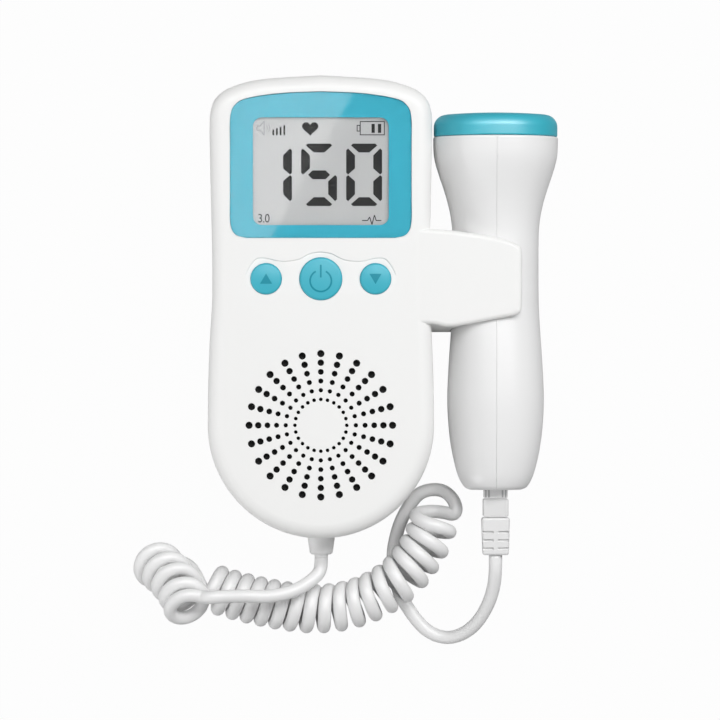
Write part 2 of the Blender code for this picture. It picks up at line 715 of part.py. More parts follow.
def front_housing():
    """Front half: display well, clip arm, posts, button and speaker holes."""
    piece = front_shell()
    ceiling = BODY_DEPTH - WALL
    bm = bmesh.new()
    prism(bm, inset(lens_outline(), -WELL_RIM), WELL_FLOOR - WELL_PLATE, ceiling + OVERLAP)
    combine(piece, "UNION", bm)
    bm = bmesh.new()
    clip_arm(bm, CLIP_TOP, CLIP_SLAB, True)
    combine(piece, "UNION", bm)
    bm = bmesh.new()
    clip_web(bm, CLIP_TOP - CLIP_ROUND - OVERLAP, SEAM_Z + GAP / 2)
    combine(piece, "UNION", bm)
    bm = bmesh.new()
    for x, y in screw_places():
        spindle(bm, ((SEAM_Z + GAP / 2, POST_RADIUS), (ceiling + OVERLAP, POST_RADIUS)), (x, y, 0.0),
                (0.0, 0.0, 1.0), SCREW_SIDES)
    for x, y in both_sides(BOARD_SCREW_AT):
        low = BOARD_Z + BOARD_THICK + GAP
        spindle(bm, ((low, BOARD_POST), (ceiling + OVERLAP, BOARD_POST)), (x, y, 0.0),
                (0.0, 0.0, 1.0), SCREW_SIDES)
    combine(piece, "UNION", bm)
    bm = bmesh.new()
    inner = SPEAKER_RADIUS + GAP
    outer = inner + SPEAKER_WALL
    turned(bm, ((ceiling - SPEAKER_WALL_TALL, inner), (ceiling + OVERLAP, inner),
                (ceiling + OVERLAP, outer), (ceiling - SPEAKER_WALL_TALL, outer)),
           (0.0, 0.0, 0.0), (0.0, 0.0, 1.0), ROUND_STEPS)
    combine(piece, "UNION", bm)
    cut_channel(piece)
    bm = bmesh.new()
    prism(bm, inset(lens_outline(), -GAP), WELL_FLOOR, BODY_DEPTH + THROUGH)
    hollow_cutter(bm)
    combine(piece, "DIFFERENCE", bm)
    bm = bmesh.new()
    grille_holes(bm)
    for _name, x, radius in BUTTONS:
        spindle(bm, ((ceiling - OVERLAP, radius + GAP), (BODY_DEPTH + THROUGH, radius + GAP)),
                (x, BUTTON_Y, 0.0), (0.0, 0.0, 1.0), BUTTON_SIDES)
    window = rounded_outline(WINDOW_HALF + GAP, WINDOW_Y - WINDOW_LONG / 2 - GAP,
                             WINDOW_Y + WINDOW_LONG / 2 + GAP, WINDOW_CORNER)
    prism(bm, window, WELL_FLOOR - WELL_PLATE - OVERLAP, WELL_FLOOR + OVERLAP)
    for x, y in screw_places():
        bore = SCREW_SHAFT + GAP
        top = SCREW_SUNK + SCREW_HEAD_TALL + SCREW_LONG + GAP
        spindle(bm, ((SEAM_Z - OVERLAP, bore), (top, bore)), (x, y, 0.0), (0.0, 0.0, 1.0), SCREW_SIDES)
    for x, y in both_sides(BOARD_SCREW_AT):
        bore = BOARD_SCREW_SHAFT + GAP
        spindle(bm, ((BOARD_Z, bore), (BOARD_Z + BOARD_SCREW_LONG + GAP, bore)), (x, y, 0.0),
                (0.0, 0.0, 1.0), SCREW_SIDES)
    nose = JACK_NOSE + GAP
    spindle(bm, ((-BODY_RADIUS - THROUGH, nose), (-BODY_RADIUS + 2 * WALL + OVERLAP, nose)),
            (0.0, JACK_Y, JACK_Z), (1.0, 0.0, 0.0), ROUND_STEPS)
    relief_hole(bm)
    combine(piece, "DIFFERENCE", bm)


def relief_hole(bm):
    """Adds the cutter for the strain relief's neck, half in each housing half."""
    neck = RELIEF_NECK + GAP
    spindle(bm, ((-BODY_RADIUS - THROUGH, neck), (-BODY_RADIUS + WALL + OVERLAP, neck)),
            (0.0, 0.0, SEAM_Z), (0.0, 1.0, 0.0), RELIEF_SIDES)


def bay_top():
    """Y of the upper end of the battery bay."""
    contact = GAP + CONTACT_THICK + GAP
    return BAY_BOTTOM + contact + SPRING_LONG + GAP + CELL_LONG + CELL_NUB_LONG + contact


def bay_half():
    """Half width of the battery bay."""
    return 2 * CELL_RADIUS + GAP / 2 + GAP


def cover_half():
    """Half width of the battery cover."""
    return bay_half() + COVER_MARGIN


def cover_top():
    """Y of the battery cover's upper end."""
    return bay_top() + COVER_LIP


def rear_housing():
    """Rear half: battery bay, posts, clip arm and the recess for the battery cover."""
    piece = rear_shell()
    half = bay_half()
    bm = bmesh.new()
    box(bm, (-half - BAY_WALL, BAY_BOTTOM - BAY_WALL, REAR_WALL - OVERLAP),
        (half + BAY_WALL, bay_top() + BAY_WALL, BAY_ROOF + BAY_WALL))
    for x, y in screw_places():
        spindle(bm, ((REAR_WALL - OVERLAP, POST_RADIUS), (SEAM_Z - GAP / 2, POST_RADIUS)), (x, y, 0.0),
                (0.0, 0.0, 1.0), SCREW_SIDES)
    combine(piece, "UNION", bm)
    arm_low = PROBE_Z - HANDLE_RADIUS - CLIP_GAP - CLIP_REAR_SLAB
    bm = bmesh.new()
    clip_arm(bm, arm_low, CLIP_SLAB + CLIP_REAR_SLAB, False)
    combine(piece, "UNION", bm)
    bm = bmesh.new()
    clip_web(bm, arm_low + CLIP_ROUND + OVERLAP, SEAM_Z - GAP / 2)
    combine(piece, "UNION", bm)
    cut_channel(piece)
    bm = bmesh.new()
    box(bm, (-half, BAY_BOTTOM, -THROUGH), (half, bay_top(), BAY_ROOF))
    relief_hole(bm)
    for x, y in screw_places():
        bore = SCREW_SHAFT + GAP
        head = SCREW_HEAD + GAP
        shoulder = SCREW_SUNK + SCREW_HEAD_TALL + GAP
        spindle(bm, ((-THROUGH, head), (shoulder, head), (shoulder, bore), (SEAM_Z + OVERLAP, bore)),
                (x, y, 0.0), (0.0, 0.0, 1.0), SCREW_SIDES)
    combine(piece, "DIFFERENCE", bm)
    bm = bmesh.new()
    wide = cover_half() + GAP
    box(bm, (-wide, -BODY_RADIUS - THROUGH, -THROUGH), (wide, cover_top() + GAP, COVER_THICK + GAP))
    combine(piece, "DIFFERENCE", bm)


def battery_cover():
    """Cover of the battery bay: a strip of the rear face that runs out over its round end."""
    outline = body_outline()
    rings = edge_rings(outline, 0.0, REAR_EDGE, 0.0, REAR_EDGE_STEPS, False)
    bm = bmesh.new()
    skin(bm, [level(outline, REAR_EDGE + OVERLAP)] + rings)
    piece = finish("battery_cover", bm, WHITE)
    bm = bmesh.new()
    half = cover_half()
    box(bm, (-half, -BODY_RADIUS - THROUGH, -THROUGH), (half, cover_top(), COVER_THICK))
    combine(piece, "INTERSECT", bm)
    bm = bmesh.new()
    for groove in range(COVER_GROOVES):
        y = cover_top() - COVER_GROOVE_DROP + COVER_GROOVE_PITCH * groove
        box(bm, (-COVER_GROOVE_HALF, y, -THROUGH),
            (COVER_GROOVE_HALF, y + COVER_GROOVE_WIDE, COVER_GROOVE_DEEP))
    combine(piece, "DIFFERENCE", bm)


def display():
    """Lens, printed mask, display panel, its frame and the rubber strip that feeds it."""
    high = BODY_DEPTH
    bm = bmesh.new()
    prism(bm, lens_outline(), high - LENS_THICK, high)
    finish("display_lens", bm, ((0.8, 0.9, 0.92), 0.05, 1.0))
    low = WINDOW_Y - WINDOW_LONG / 2
    window = rounded_outline(WINDOW_HALF, low, low + WINDOW_LONG, WINDOW_CORNER)
    bm = bmesh.new()
    top = high - LENS_THICK - GAP
    prism(bm, lens_outline(), top - MASK_THICK, top)
    piece = finish("display_mask", bm, TEAL)
    bm = bmesh.new()
    prism(bm, window, top - MASK_THICK - THROUGH, top + THROUGH)
    combine(piece, "DIFFERENCE", bm)
    panel_top = WELL_FLOOR
    base_top = WELL_FLOOR - WELL_PLATE - GAP
    base_low = WINDOW_Y - LCD_BASE_LONG / 2
    bm = bmesh.new()
    box(bm, (-LCD_BASE_HALF, base_low, base_top - LCD_BASE_THICK),
        (LCD_BASE_HALF, base_low + LCD_BASE_LONG, base_top))
    piece = finish("lcd_panel", bm, GREY)
    bm = bmesh.new()
    prism(bm, window, base_top - OVERLAP, panel_top)
    combine(piece, "UNION", bm)
    frame_low = BOARD_Z + BOARD_THICK + GAP
    bm = bmesh.new()
    x = LCD_BASE_HALF + GAP
    y_low = base_low - GAP
    y_high = base_low + LCD_BASE_LONG + GAP
    box(bm, (-x - FRAME_WALL, y_low - FRAME_WALL, frame_low), (x + FRAME_WALL, y_high + FRAME_WALL, base_top))
    piece = finish("lcd_frame", bm, WHITE)
    bm = bmesh.new()
    box(bm, (-x, y_low, base_top - LCD_BASE_THICK - GAP), (x, y_high, base_top + THROUGH))
    combine(piece, "DIFFERENCE", bm)
    bm = bmesh.new()
    in_x = x - FRAME_INSET
    box(bm, (-in_x, y_low + FRAME_INSET, frame_low - THROUGH),
        (in_x, y_high - FRAME_INSET, base_top - LCD_BASE_THICK))
    combine(piece, "DIFFERENCE", bm)
    bm = bmesh.new()
    box(bm, (-ZEBRA_HALF, base_low + ZEBRA_INSET, frame_low),
        (ZEBRA_HALF, base_low + ZEBRA_INSET + ZEBRA_WIDE, base_top - LCD_BASE_THICK - GAP))
    finish("zebra_connector", bm, ((0.5, 0.2, 0.3), 0.8))


def buttons():
    """Three press buttons, each with its switch and the switch's plunger below."""
    ceiling = BODY_DEPTH - WALL
    flange_top = ceiling - GAP
    flange_low = flange_top - BUTTON_FLANGE_THICK
    switch_low = BOARD_Z + BOARD_THICK + GAP
    switch_top = switch_low + SWITCH_TALL
    plunger_low = switch_top - SWITCH_BORE_DEEP + BUTTON_TRAVEL + GAP
    plunger_top = plunger_low + PLUNGER_TALL
    crown = BODY_DEPTH + BUTTON_RISE
    for name, x, radius in BUTTONS:
        bm = bmesh.new()
        stem = plunger_top + GAP
        profile = [(stem, BUTTON_STEM), (flange_low, BUTTON_STEM), (flange_low, radius + BUTTON_FLANGE),
                   (flange_top, radius + BUTTON_FLANGE), (flange_top, radius)]
        for step in range(3):
            angle = math.pi / 4 * step
            edge = BUTTON_ROUND * (1 - math.cos(angle))
            profile.append((crown - BUTTON_DOME - BUTTON_ROUND * (1 - math.sin(angle)), radius - edge))
        profile += [(crown - BUTTON_DOME * drop, radius * reach) for reach, drop in DOME_SHARES]
        spindle(bm, profile, (x, BUTTON_Y, 0.0), (0.0, 0.0, 1.0), BUTTON_SIDES)
        finish(f"{name}_button", bm, TEAL, (x, BUTTON_Y, BODY_DEPTH))
        bm = bmesh.new()
        box(bm, (x - SWITCH_HALF, BUTTON_Y - SWITCH_HALF, switch_low),
            (x + SWITCH_HALF, BUTTON_Y + SWITCH_HALF, switch_top))
        piece = finish(f"{name}_switch", bm, METAL)
        bm = bmesh.new()
        spindle(bm, ((switch_top - SWITCH_BORE_DEEP, SWITCH_BORE), (switch_top + THROUGH, SWITCH_BORE)),
                (x, BUTTON_Y, 0.0), (0.0, 0.0, 1.0), SCREW_SIDES)
        combine(piece, "DIFFERENCE", bm)
        bm = bmesh.new()
        spindle(bm, ((plunger_low, PLUNGER_RADIUS), (plunger_top, PLUNGER_RADIUS)), (x, BUTTON_Y, 0.0),
                (0.0, 0.0, 1.0), SCREW_SIDES)
        finish(f"{name}_plunger", bm, DARK, (x, BUTTON_Y, plunger_top))


def speaker():
    """Dust cloth, basket, cone and magnet under the grille."""
    ceiling = BODY_DEPTH - WALL
    cloth_low = ceiling - GAP - CLOTH_THICK
    up = (0.0, 0.0, 1.0)
    bm = bmesh.new()
    spindle(bm, ((cloth_low, SPEAKER_RADIUS), (cloth_low + CLOTH_THICK, SPEAKER_RADIUS)), (0.0, 0.0, 0.0),
            up, 2 * ROUND_STEPS)
    finish("speaker_cloth", bm, DARK)
    rim = cloth_low - GAP
    foot = rim - BASKET_DEEP
    bm = bmesh.new()
    rim_in = SPEAKER_RADIUS - 2 * BASKET_RIM_THICK
    basket_foot = SPEAKER_RADIUS * BASKET_FOOT_SHARE
    basket_bore = SPEAKER_RADIUS * BASKET_BORE_SHARE
    profile = ((rim, rim_in), (rim, SPEAKER_RADIUS), (rim - BASKET_RIM_THICK, SPEAKER_RADIUS),
               (rim - BASKET_RIM_THICK, rim_in + BASKET_SKIN / 2), (foot, basket_foot), (foot, basket_bore),
               (foot + BASKET_SKIN, basket_bore), (foot + BASKET_SKIN, basket_foot - BASKET_SKIN))
    turned(bm, profile, (0.0, 0.0, 0.0), up, ROUND_STEPS)
    finish("speaker_basket", bm, METAL)
    bm = bmesh.new()
    top = rim - GAP
    wide = rim_in - CONE_EDGE
    cone_foot = SPEAKER_RADIUS * CONE_FOOT_SHARE
    profile = ((top, wide), (top - CONE_THICK, wide), (top - CONE_DEEP - CONE_THICK, cone_foot),
               (top - CONE_DEEP, cone_foot / 2), (top - CONE_DEEP + CONE_THICK, cone_foot / 2),
               (top - CONE_DEEP, cone_foot))
    turned(bm, profile, (0.0, 0.0, 0.0), up, ROUND_STEPS)
    finish("speaker_cone", bm, DARK)
    bm = bmesh.new()
    high = foot - GAP
    magnet = SPEAKER_RADIUS * MAGNET_SHARE
    spindle(bm, ((high - MAGNET_THICK, magnet), (high, magnet)), (0.0, 0.0, 0.0), up, ROUND_STEPS)
    finish("speaker_magnet", bm, METAL)


def board():
    """Main board with its chip and headphone socket."""
    bm = bmesh.new()
    outline = rounded_outline(BOARD_HALF, BOARD_BOTTOM, BOARD_TOP, BOARD_CORNER)
    prism(bm, outline, BOARD_Z, BOARD_Z + BOARD_THICK)
    piece = finish("main_board", bm, BOARD_GREEN)
    bm = bmesh.new()
    for x, y in both_sides(BOARD_SCREW_AT):
        bore = BOARD_SCREW_SHAFT + GAP
        spindle(bm, ((BOARD_Z - THROUGH, bore), (BOARD_Z + BOARD_THICK + THROUGH, bore)), (x, y, 0.0),
                (0.0, 0.0, 1.0), SCREW_SIDES)
    combine(piece, "DIFFERENCE", bm)
    x, y = CHIP_SIDE, LENS_BOTTOM + CHIP_RISE
    bm = bmesh.new()
    high = BOARD_Z - GAP
    box(bm, (x - CHIP_HALF, y - CHIP_HALF, high - CHIP_THICK), (x + CHIP_HALF, y + CHIP_HALF, high))
    finish("signal_chip", bm, DARK)
    bm = bmesh.new()
    left = -BODY_RADIUS * JACK_SIDE_SHARE + WALL + GAP
    box(bm, (left, JACK_Y - JACK_HALF, JACK_Z - JACK_DEPTH / 2),
        (left + JACK_LONG, JACK_Y + JACK_HALF, JACK_Z + JACK_DEPTH / 2))
    piece = finish("headphone_socket", bm, DARK)
    bm = bmesh.new()
    spindle(bm, ((-JACK_NOSE_LONG + WALL / 2, JACK_NOSE), (OVERLAP, JACK_NOSE)),
            (left, JACK_Y, JACK_Z), (1.0, 0.0, 0.0), ROUND_STEPS)
    combine(piece, "UNION", bm)
    bm = bmesh.new()
    spindle(bm, ((-JACK_NOSE_LONG - THROUGH, JACK_BORE), (JACK_BORE_DEEP - JACK_NOSE_LONG, JACK_BORE)),
            (left, JACK_Y, JACK_Z), (1.0, 0.0, 0.0), ROUND_STEPS // 2)
    combine(piece, "DIFFERENCE", bm)


def screw(name, x, y, head_low, shaft, head, head_tall, long):
    """One pan-head screw with a cross slot, pointing up."""
    bm = bmesh.new()
    spindle(bm, ((head_low, head), (head_low + head_tall, head), (head_low + head_tall, shaft),
                 (head_low + head_tall + long, shaft)), (x, y, 0.0), (0.0, 0.0, 1.0), SCREW_SIDES)
    piece = finish(name, bm, METAL, (x, y, head_low))
    bm = bmesh.new()
    arm = head * SCREW_SLOT_SHARE
    half = SCREW_SLOT / 2
    outline = [(arm, half), (half, half), (half, arm), (-half, arm), (-half, half), (-arm, half),
               (-arm, -half), (-half, -half), (-half, -arm), (half, -arm), (half, -half), (arm, -half)]
    cross = [Vector((x + px, y + py)) for px, py in outline]
    prism(bm, cross, head_low - THROUGH, head_low + head_tall / 2)
    combine(piece, "DIFFERENCE", bm)


def screws():
    """Four housing screws and two board screws."""
    names = ("upper_right", "upper_left", "lower_right", "lower_left")
    for name, (x, y) in zip(names, screw_places()):
        screw(f"screw_{name}", x, y, SCREW_SUNK, SCREW_SHAFT, SCREW_HEAD, SCREW_HEAD_TALL, SCREW_LONG)
    for name, (x, y) in zip(("right", "left"), both_sides(BOARD_SCREW_AT)):
        low = BOARD_Z - GAP - BOARD_SCREW_HEAD_TALL
        screw(f"board_screw_{name}", x, y, low, BOARD_SCREW_SHAFT, BOARD_SCREW_HEAD,
              BOARD_SCREW_HEAD_TALL, BOARD_SCREW_LONG)


def batteries():
    """Two cells head to tail, with a contact plate at each end and a spring at each flat end."""
    low = BAY_BOTTOM + GAP
    high = bay_top() - GAP
    for side, name in ((-1.0, "left"), (1.0, "right")):
        x = side * (CELL_RADIUS + GAP / 2)
        foot = low + CONTACT_THICK + GAP + SPRING_LONG + GAP
        profile = ((0.0, CELL_RADIUS), (CELL_LONG, CELL_RADIUS), (CELL_LONG, CELL_NUB),
                   (CELL_LONG + CELL_NUB_LONG, CELL_NUB))
        bm = bmesh.new()
        if side < 0:
            spindle(bm, profile, (x, foot, CELL_Z), (0.0, 1.0, 0.0), ROUND_STEPS)
            spring_from = low + CONTACT_THICK + GAP
        else:
            spindle(bm, profile, (x, low + high - foot, CELL_Z), (0.0, -1.0, 0.0), ROUND_STEPS)
            spring_from = high - CONTACT_THICK - GAP - SPRING_LONG
        finish(f"battery_{name}", bm, ((0.02, 0.02, 0.03), 0.4))
        spring(f"battery_spring_{name}", x, spring_from)
    for name, y in (("lower", low), ("upper", high - CONTACT_THICK)):
        bm = bmesh.new()
        x = CELL_RADIUS + CONTACT_HALF
        box(bm, (-x, y, CELL_Z - CONTACT_HALF), (x, y + CONTACT_THICK, CELL_Z + CONTACT_HALF))
        finish(f"battery_contact_{name}", bm, METAL)


def spring(name, x, start):
    """One battery spring along Y."""
    count = SPRING_TURNS * SPRING_POINTS
    long = SPRING_LONG - SPRING_WIRE
    points = []
    for index in range(count + 1):
        share = index / count
        angle = math.tau * SPRING_TURNS * share
        points.append(Vector((x + SPRING_RADIUS * math.cos(angle), start + SPRING_WIRE / 2 + long * share,
                              CELL_Z + SPRING_RADIUS * math.sin(angle))))
    tube(name, points, SPRING_WIRE, 0, METAL)


def tube(name, points, thick, fineness, look):
    """A round wire or cord through points."""
    data = bpy.data.curves.new(name, "CURVE")
    data.dimensions = "3D"
    data.bevel_depth = thick / 2
    data.bevel_resolution = fineness
    data.use_fill_caps = True
    line = data.splines.new("POLY")
    line.points.add(len(points) - 1)
    for point, place in zip(line.points, points):
        point.co = (*place, 1.0)
    piece = bpy.data.objects.new(name, data)
    PARTS.objects.link(piece)
    data.materials.append(paint(name, *look))
    return piece


def probe():
    """Probe: two shell halves, cap, crystals, board and the socket for the plug."""
    for side, name in ((1.0, "right"), (-1.0, "left")):
        outer = probe_profile(0.0)
        inner = [(place, radius - PROBE_WALL) for place, radius in outer[::2]]
        floor = outer[0][0] + PROBE_WALL
        inner = [(place, radius) for place, radius in inner if place > floor]
        inner[0] = (floor, inner[0][1])
        profile = [(outer[0][0], PROBE_WALL)] + outer + list(reversed(inner)) + [(floor, PROBE_WALL)]
        bm = bmesh.new()
        start = 0.0 if side > 0 else math.pi
        centre = (PROBE_X + side * GAP / 2, 0.0, PROBE_Z)
        turned(bm, profile, centre, (0.0, 1.0, 0.0), PROBE_STEPS, start, math.pi)
        piece = finish(f"probe_shell_{name}", bm, WHITE, centre)
        bm = bmesh.new()
        box(bm, (PROBE_X - TONGUE_HALF - GAP, outer[0][0] - THROUGH, PROBE_Z - TONGUE_TALL - GAP),
            (PROBE_X + TONGUE_HALF + GAP, floor + THROUGH, PROBE_Z + TONGUE_TALL + GAP))
        combine(piece, "DIFFERENCE", bm)
    probe_head()
    probe_inside()


def cap_base():
    """Y of the cap's lower edge."""
    return PROBE_FOOT + PROBE_LONG + GAP


def probe_head():
    """Blue cap, and the two crystals and their backing behind it."""
    base = cap_base()
    side = [(base, CAP_RADIUS)]
    for step in range(EDGE_STEPS + 1):
        angle = math.pi / 2 * step / EDGE_STEPS
        side.append((base + CAP_TALL - CAP_CROWN - CAP_ROUND * (1 - math.sin(angle)),
                     CAP_RADIUS - CAP_ROUND * (1 - math.cos(angle))))
    side += [(base + CAP_TALL - CAP_CROWN * drop, CAP_RADIUS * reach) for reach, drop in DOME_SHARES]
    spigot = HEAD_RADIUS - PROBE_WALL - GAP
    inner = spigot - CAP_WALL
    roof = base + CAP_TALL - CAP_CROWN - CAP_WALL
    profile = list(reversed(side)) + [(base, spigot), (base - CAP_SPIGOT, spigot), (base - CAP_SPIGOT, inner),
                                      (roof, inner), (roof, side[-1][1])]
    bm = bmesh.new()
    spindle(bm, profile, (PROBE_X, 0.0, PROBE_Z), (0.0, 1.0, 0.0), CAP_STEPS)
    finish("probe_cap", bm, TEAL, (PROBE_X, base, PROBE_Z))
    crystal_low = roof - GAP - CRYSTAL_THICK
    for name, start in (("transmit_crystal", 0.0), ("receive_crystal", math.pi)):
        bm = bmesh.new()
        skin_half_disc(bm, CRYSTAL_RADIUS, crystal_low, crystal_low + CRYSTAL_THICK, start)
        finish(name, bm, ((0.7, 0.68, 0.6), 0.4))
    bm = bmesh.new()
    high = crystal_low - GAP
    spindle(bm, ((high - BACKING_THICK, BACKING_RADIUS), (high, BACKING_RADIUS)),
            (PROBE_X, 0.0, PROBE_Z), (0.0, 1.0, 0.0), ROUND_STEPS)
    finish("crystal_backing", bm, DARK)


def skin_half_disc(bm, radius, low, high, start):
    """Adds half a disc about the probe's axis, split from its twin by the gap."""
    rings = []
    steps = ROUND_STEPS // 2
    shift = GAP / 2 * (1.0 if start == 0.0 else -1.0)
    for y in (low, high):
        ring = []
        for step in range(steps + 1):
            angle = start + math.pi * step / steps
            z = PROBE_Z + shift + radius * math.sin(angle)
            ring.append(Vector((PROBE_X + radius * math.cos(angle), y, z)))
        rings.append(ring)
    skin(bm, rings)


def probe_inside():
    """Small board with its chip, and the socket that takes the plug."""
    high = PROBE_Z + PROBE_BOARD_THICK / 2
    low = PROBE_FOOT + PROBE_WALL + GAP
    half = HANDLE_RADIUS - PROBE_WALL - GAP - PROBE_BOARD_PLAY
    bm = bmesh.new()
    box(bm, (PROBE_X - half, low + SOCKET_LONG + GAP, high - PROBE_BOARD_THICK),
        (PROBE_X + half, PROBE_BOARD_TO, high))
    finish("probe_board", bm, BOARD_GREEN)
    bm = bmesh.new()
    half = PROBE_CHIP_HALF
    box(bm, (PROBE_X - half, PROBE_CHIP_Y - half, high + GAP),
        (PROBE_X + half, PROBE_CHIP_Y + half, high + GAP + PROBE_CHIP_THICK))
    finish("probe_chip", bm, DARK)
    bm = bmesh.new()
    box(bm, (PROBE_X - SOCKET_HALF, low, PROBE_Z - SOCKET_TALL),
        (PROBE_X + SOCKET_HALF, low + SOCKET_LONG, PROBE_Z + SOCKET_TALL))
    piece = finish("probe_socket", bm, DARK)
    bm = bmesh.new()
    box(bm, (PROBE_X - TONGUE_HALF - GAP, low - THROUGH, PROBE_Z - TONGUE_TALL - GAP),
        (PROBE_X + TONGUE_HALF + GAP, low + SOCKET_LONG - SOCKET_MARGIN, PROBE_Z + TONGUE_TALL + GAP))
    combine(piece, "DIFFERENCE", bm)


def block(bm, half, tall, y_low, y_high, corner):
    """Adds a block with rounded long edges about the probe's axis."""
    outline = rounded_outline(half, -tall, tall, corner, 2)
    rings = []
    for y in (y_low, y_high):
        rings.append([Vector((PROBE_X + point.x, y, PROBE_Z + point.y)) for point in outline])
    skin(bm, rings)


def plug():
    """Plug: tongue in the socket, housing, and the ribbed boot that the cord enters."""
    tongue_low = PROBE_FOOT - TONGUE_OUT
    bm = bmesh.new()
    box(bm, (PROBE_X - TONGUE_HALF, tongue_low, PROBE_Z - TONGUE_TALL),
        (PROBE_X + TONGUE_HALF, PROBE_FOOT + TONGUE_IN, PROBE_Z + TONGUE_TALL))
    finish("plug_tongue", bm, ((0.6, 0.62, 0.63), 0.2), (PROBE_X, tongue_low, PROBE_Z))
    housing_high = tongue_low - GAP
    bm = bmesh.new()
    block(bm, PLUG_HALF, PLUG_TALL, housing_high - PLUG_LONG, housing_high, PLUG_ROUND)
    finish("plug_housing", bm, WHITE, (PROBE_X, housing_high, PROBE_Z))
    boot_high = housing_high - PLUG_LONG - GAP
    bm = bmesh.new()
    block(bm, BOOT_HALF, BOOT_TALL, boot_high - BOOT_LONG, boot_high, PLUG_ROUND)
    piece = finish("plug_boot", bm, WHITE, (PROBE_X, boot_high, PROBE_Z))
    bm = bmesh.new()
    for slot in range(BOOT_SLOTS):
        y = boot_high - BOOT_SLOT_FIRST - BOOT_SLOT_PITCH * slot
        for side in (-1.0, 1.0):
            for face in (-1.0, 1.0):
                x_in = PROBE_X + side * BOOT_SPINE
                x_out = PROBE_X + side * (BOOT_HALF + THROUGH)
                z_in = PROBE_Z + face * BOOT_CORE
                z_out = PROBE_Z + face * (BOOT_TALL + THROUGH)
                box(bm, (min(x_in, x_out), y - BOOT_SLOT_WIDE, min(z_in, z_out)),
                    (max(x_in, x_out), y, max(z_in, z_out)))
    combine(piece, "DIFFERENCE", bm)
    return boot_high - BOOT_LONG


def strain_relief():
    """Stepped sleeve where the cord leaves the unit, held by a flange inside the wall."""
    wall_out = -BODY_RADIUS
    end = wall_out - RELIEF_LONG - GAP
    flange = wall_out + WALL + 2 * GAP
    step_y = wall_out - RELIEF_STEP
    profile = ((end, RELIEF_END_HALF, RELIEF_END_TALL), (step_y, RELIEF_END_HALF + GAP, RELIEF_END_TALL),
               (step_y, RELIEF_HALF - GAP, RELIEF_TALL), (wall_out - GAP, RELIEF_HALF, RELIEF_TALL),
               (wall_out - GAP, RELIEF_NECK, RELIEF_NECK), (flange, RELIEF_NECK, RELIEF_NECK),
               (flange, RELIEF_FLANGE, RELIEF_FLANGE),
               (flange + RELIEF_FLANGE_THICK, RELIEF_FLANGE, RELIEF_FLANGE))
    rings = []
    for y, half, tall in profile:
        ring = []
        for step in range(RELIEF_SIDES):
            angle = math.tau * step / RELIEF_SIDES
            ring.append(Vector((half * math.cos(angle), y, SEAM_Z + tall * math.sin(angle))))
        rings.append(ring)
    bm = bmesh.new()
    skin(bm, rings)
    finish("strain_relief", bm, WHITE)
    return end


def curls(route, first_angle, turns, skip):
    """Left-handed curls about a bent axis: spaced so that their inner sides never touch."""
    line = spaced(smooth_line(laid(route), AXIS_STEPS), AXIS_SAMPLES)
    step = (line[1] - line[0]).length
    count = len(line)
    heads = []
    for index in range(count):
        heads.append((line[min(index + 1, count - 1)] - line[max(index - 1, 0)]).normalized())
    bends = []
    for index in range(count):
        bends.append((heads[min(index + 1, count - 1)] - heads[max(index - 1, 0)]).length / (2 * step))
    reach = BEND_WINDOW // 2
    turn = 0.0
    side = heads[0].cross(Vector((0.0, 0.0, 1.0))).normalized()
    sides = []
    turned_by = []
    for index in range(count):
        near = [bends[min(count - 1, max(0, index + shift))] for shift in range(-reach, reach + 1)]
        bend = sum(near) / len(near)
        pitch = (CORD + CURL_GAP) / max(TIGHTEST_SHARE, 1.0 - CURL_RADIUS * bend)
        turned_by.append(turn)
        turn += step / pitch
        side = (side - heads[index] * side.dot(heads[index])).normalized()
        sides.append(side)
    last = min(turns, turned_by[-1])
    total = int((last - skip) * CURL_POINTS)
    result = []
    at = 0
    for number in range(total + 1):
        goal = skip + (last - skip) * number / total
        while at < count - 2 and turned_by[at + 1] < goal:
            at += 1
        angle = math.radians(first_angle) + math.tau * goal
        up = sides[at].cross(heads[at])
        result.append(line[at] + CURL_RADIUS * (sides[at] * math.cos(angle) + up * math.sin(angle)))
    return result


def bridge(start, start_head, end, end_head, pull_start, pull_end, count):
    """Points between two ends that leaves each of them straight on."""
    result = []
    for index in range(1, count):
        t = index / count
        point = start * (2 * t ** 3 - 3 * t ** 2 + 1) + end * (3 * t ** 2 - 2 * t ** 3)
        point += start_head * (pull_start * (t ** 3 - 2 * t ** 2 + t))
        point += end_head * (pull_end * (t ** 3 - t ** 2))
        result.append(point)
    return result


def least_gap(points, near):
    """Least distance between surfaces of stretches further apart along the cord than near."""
    along = [0.0]
    for start, end in zip(points, points[1:]):
        along.append(along[-1] + (end - start).length)
    best = 1.0
    for first, point in enumerate(points):
        for second in range(first + 1, len(points) - 1):
            if along[second] - along[first] < near:
                continue
            start = points[second]
            step = points[second + 1] - start
            share = max(0.0, min(1.0, (point - start).dot(step) / step.length_squared))
            best = min(best, (start + step * share - point).length - CORD)
    return best


def lead(route, count, end, end_head):
    """Lead through route points to a straight end; the first stretch only gives the direction."""
    before_end = end - end_head * STRAIGHT_END
    line = smooth_line(route + [before_end, end], ROUTE_STEPS)
    points = spaced(line[ROUTE_STEPS:-ROUTE_STEPS], count)
    return points[1:-1] + [before_end, end]


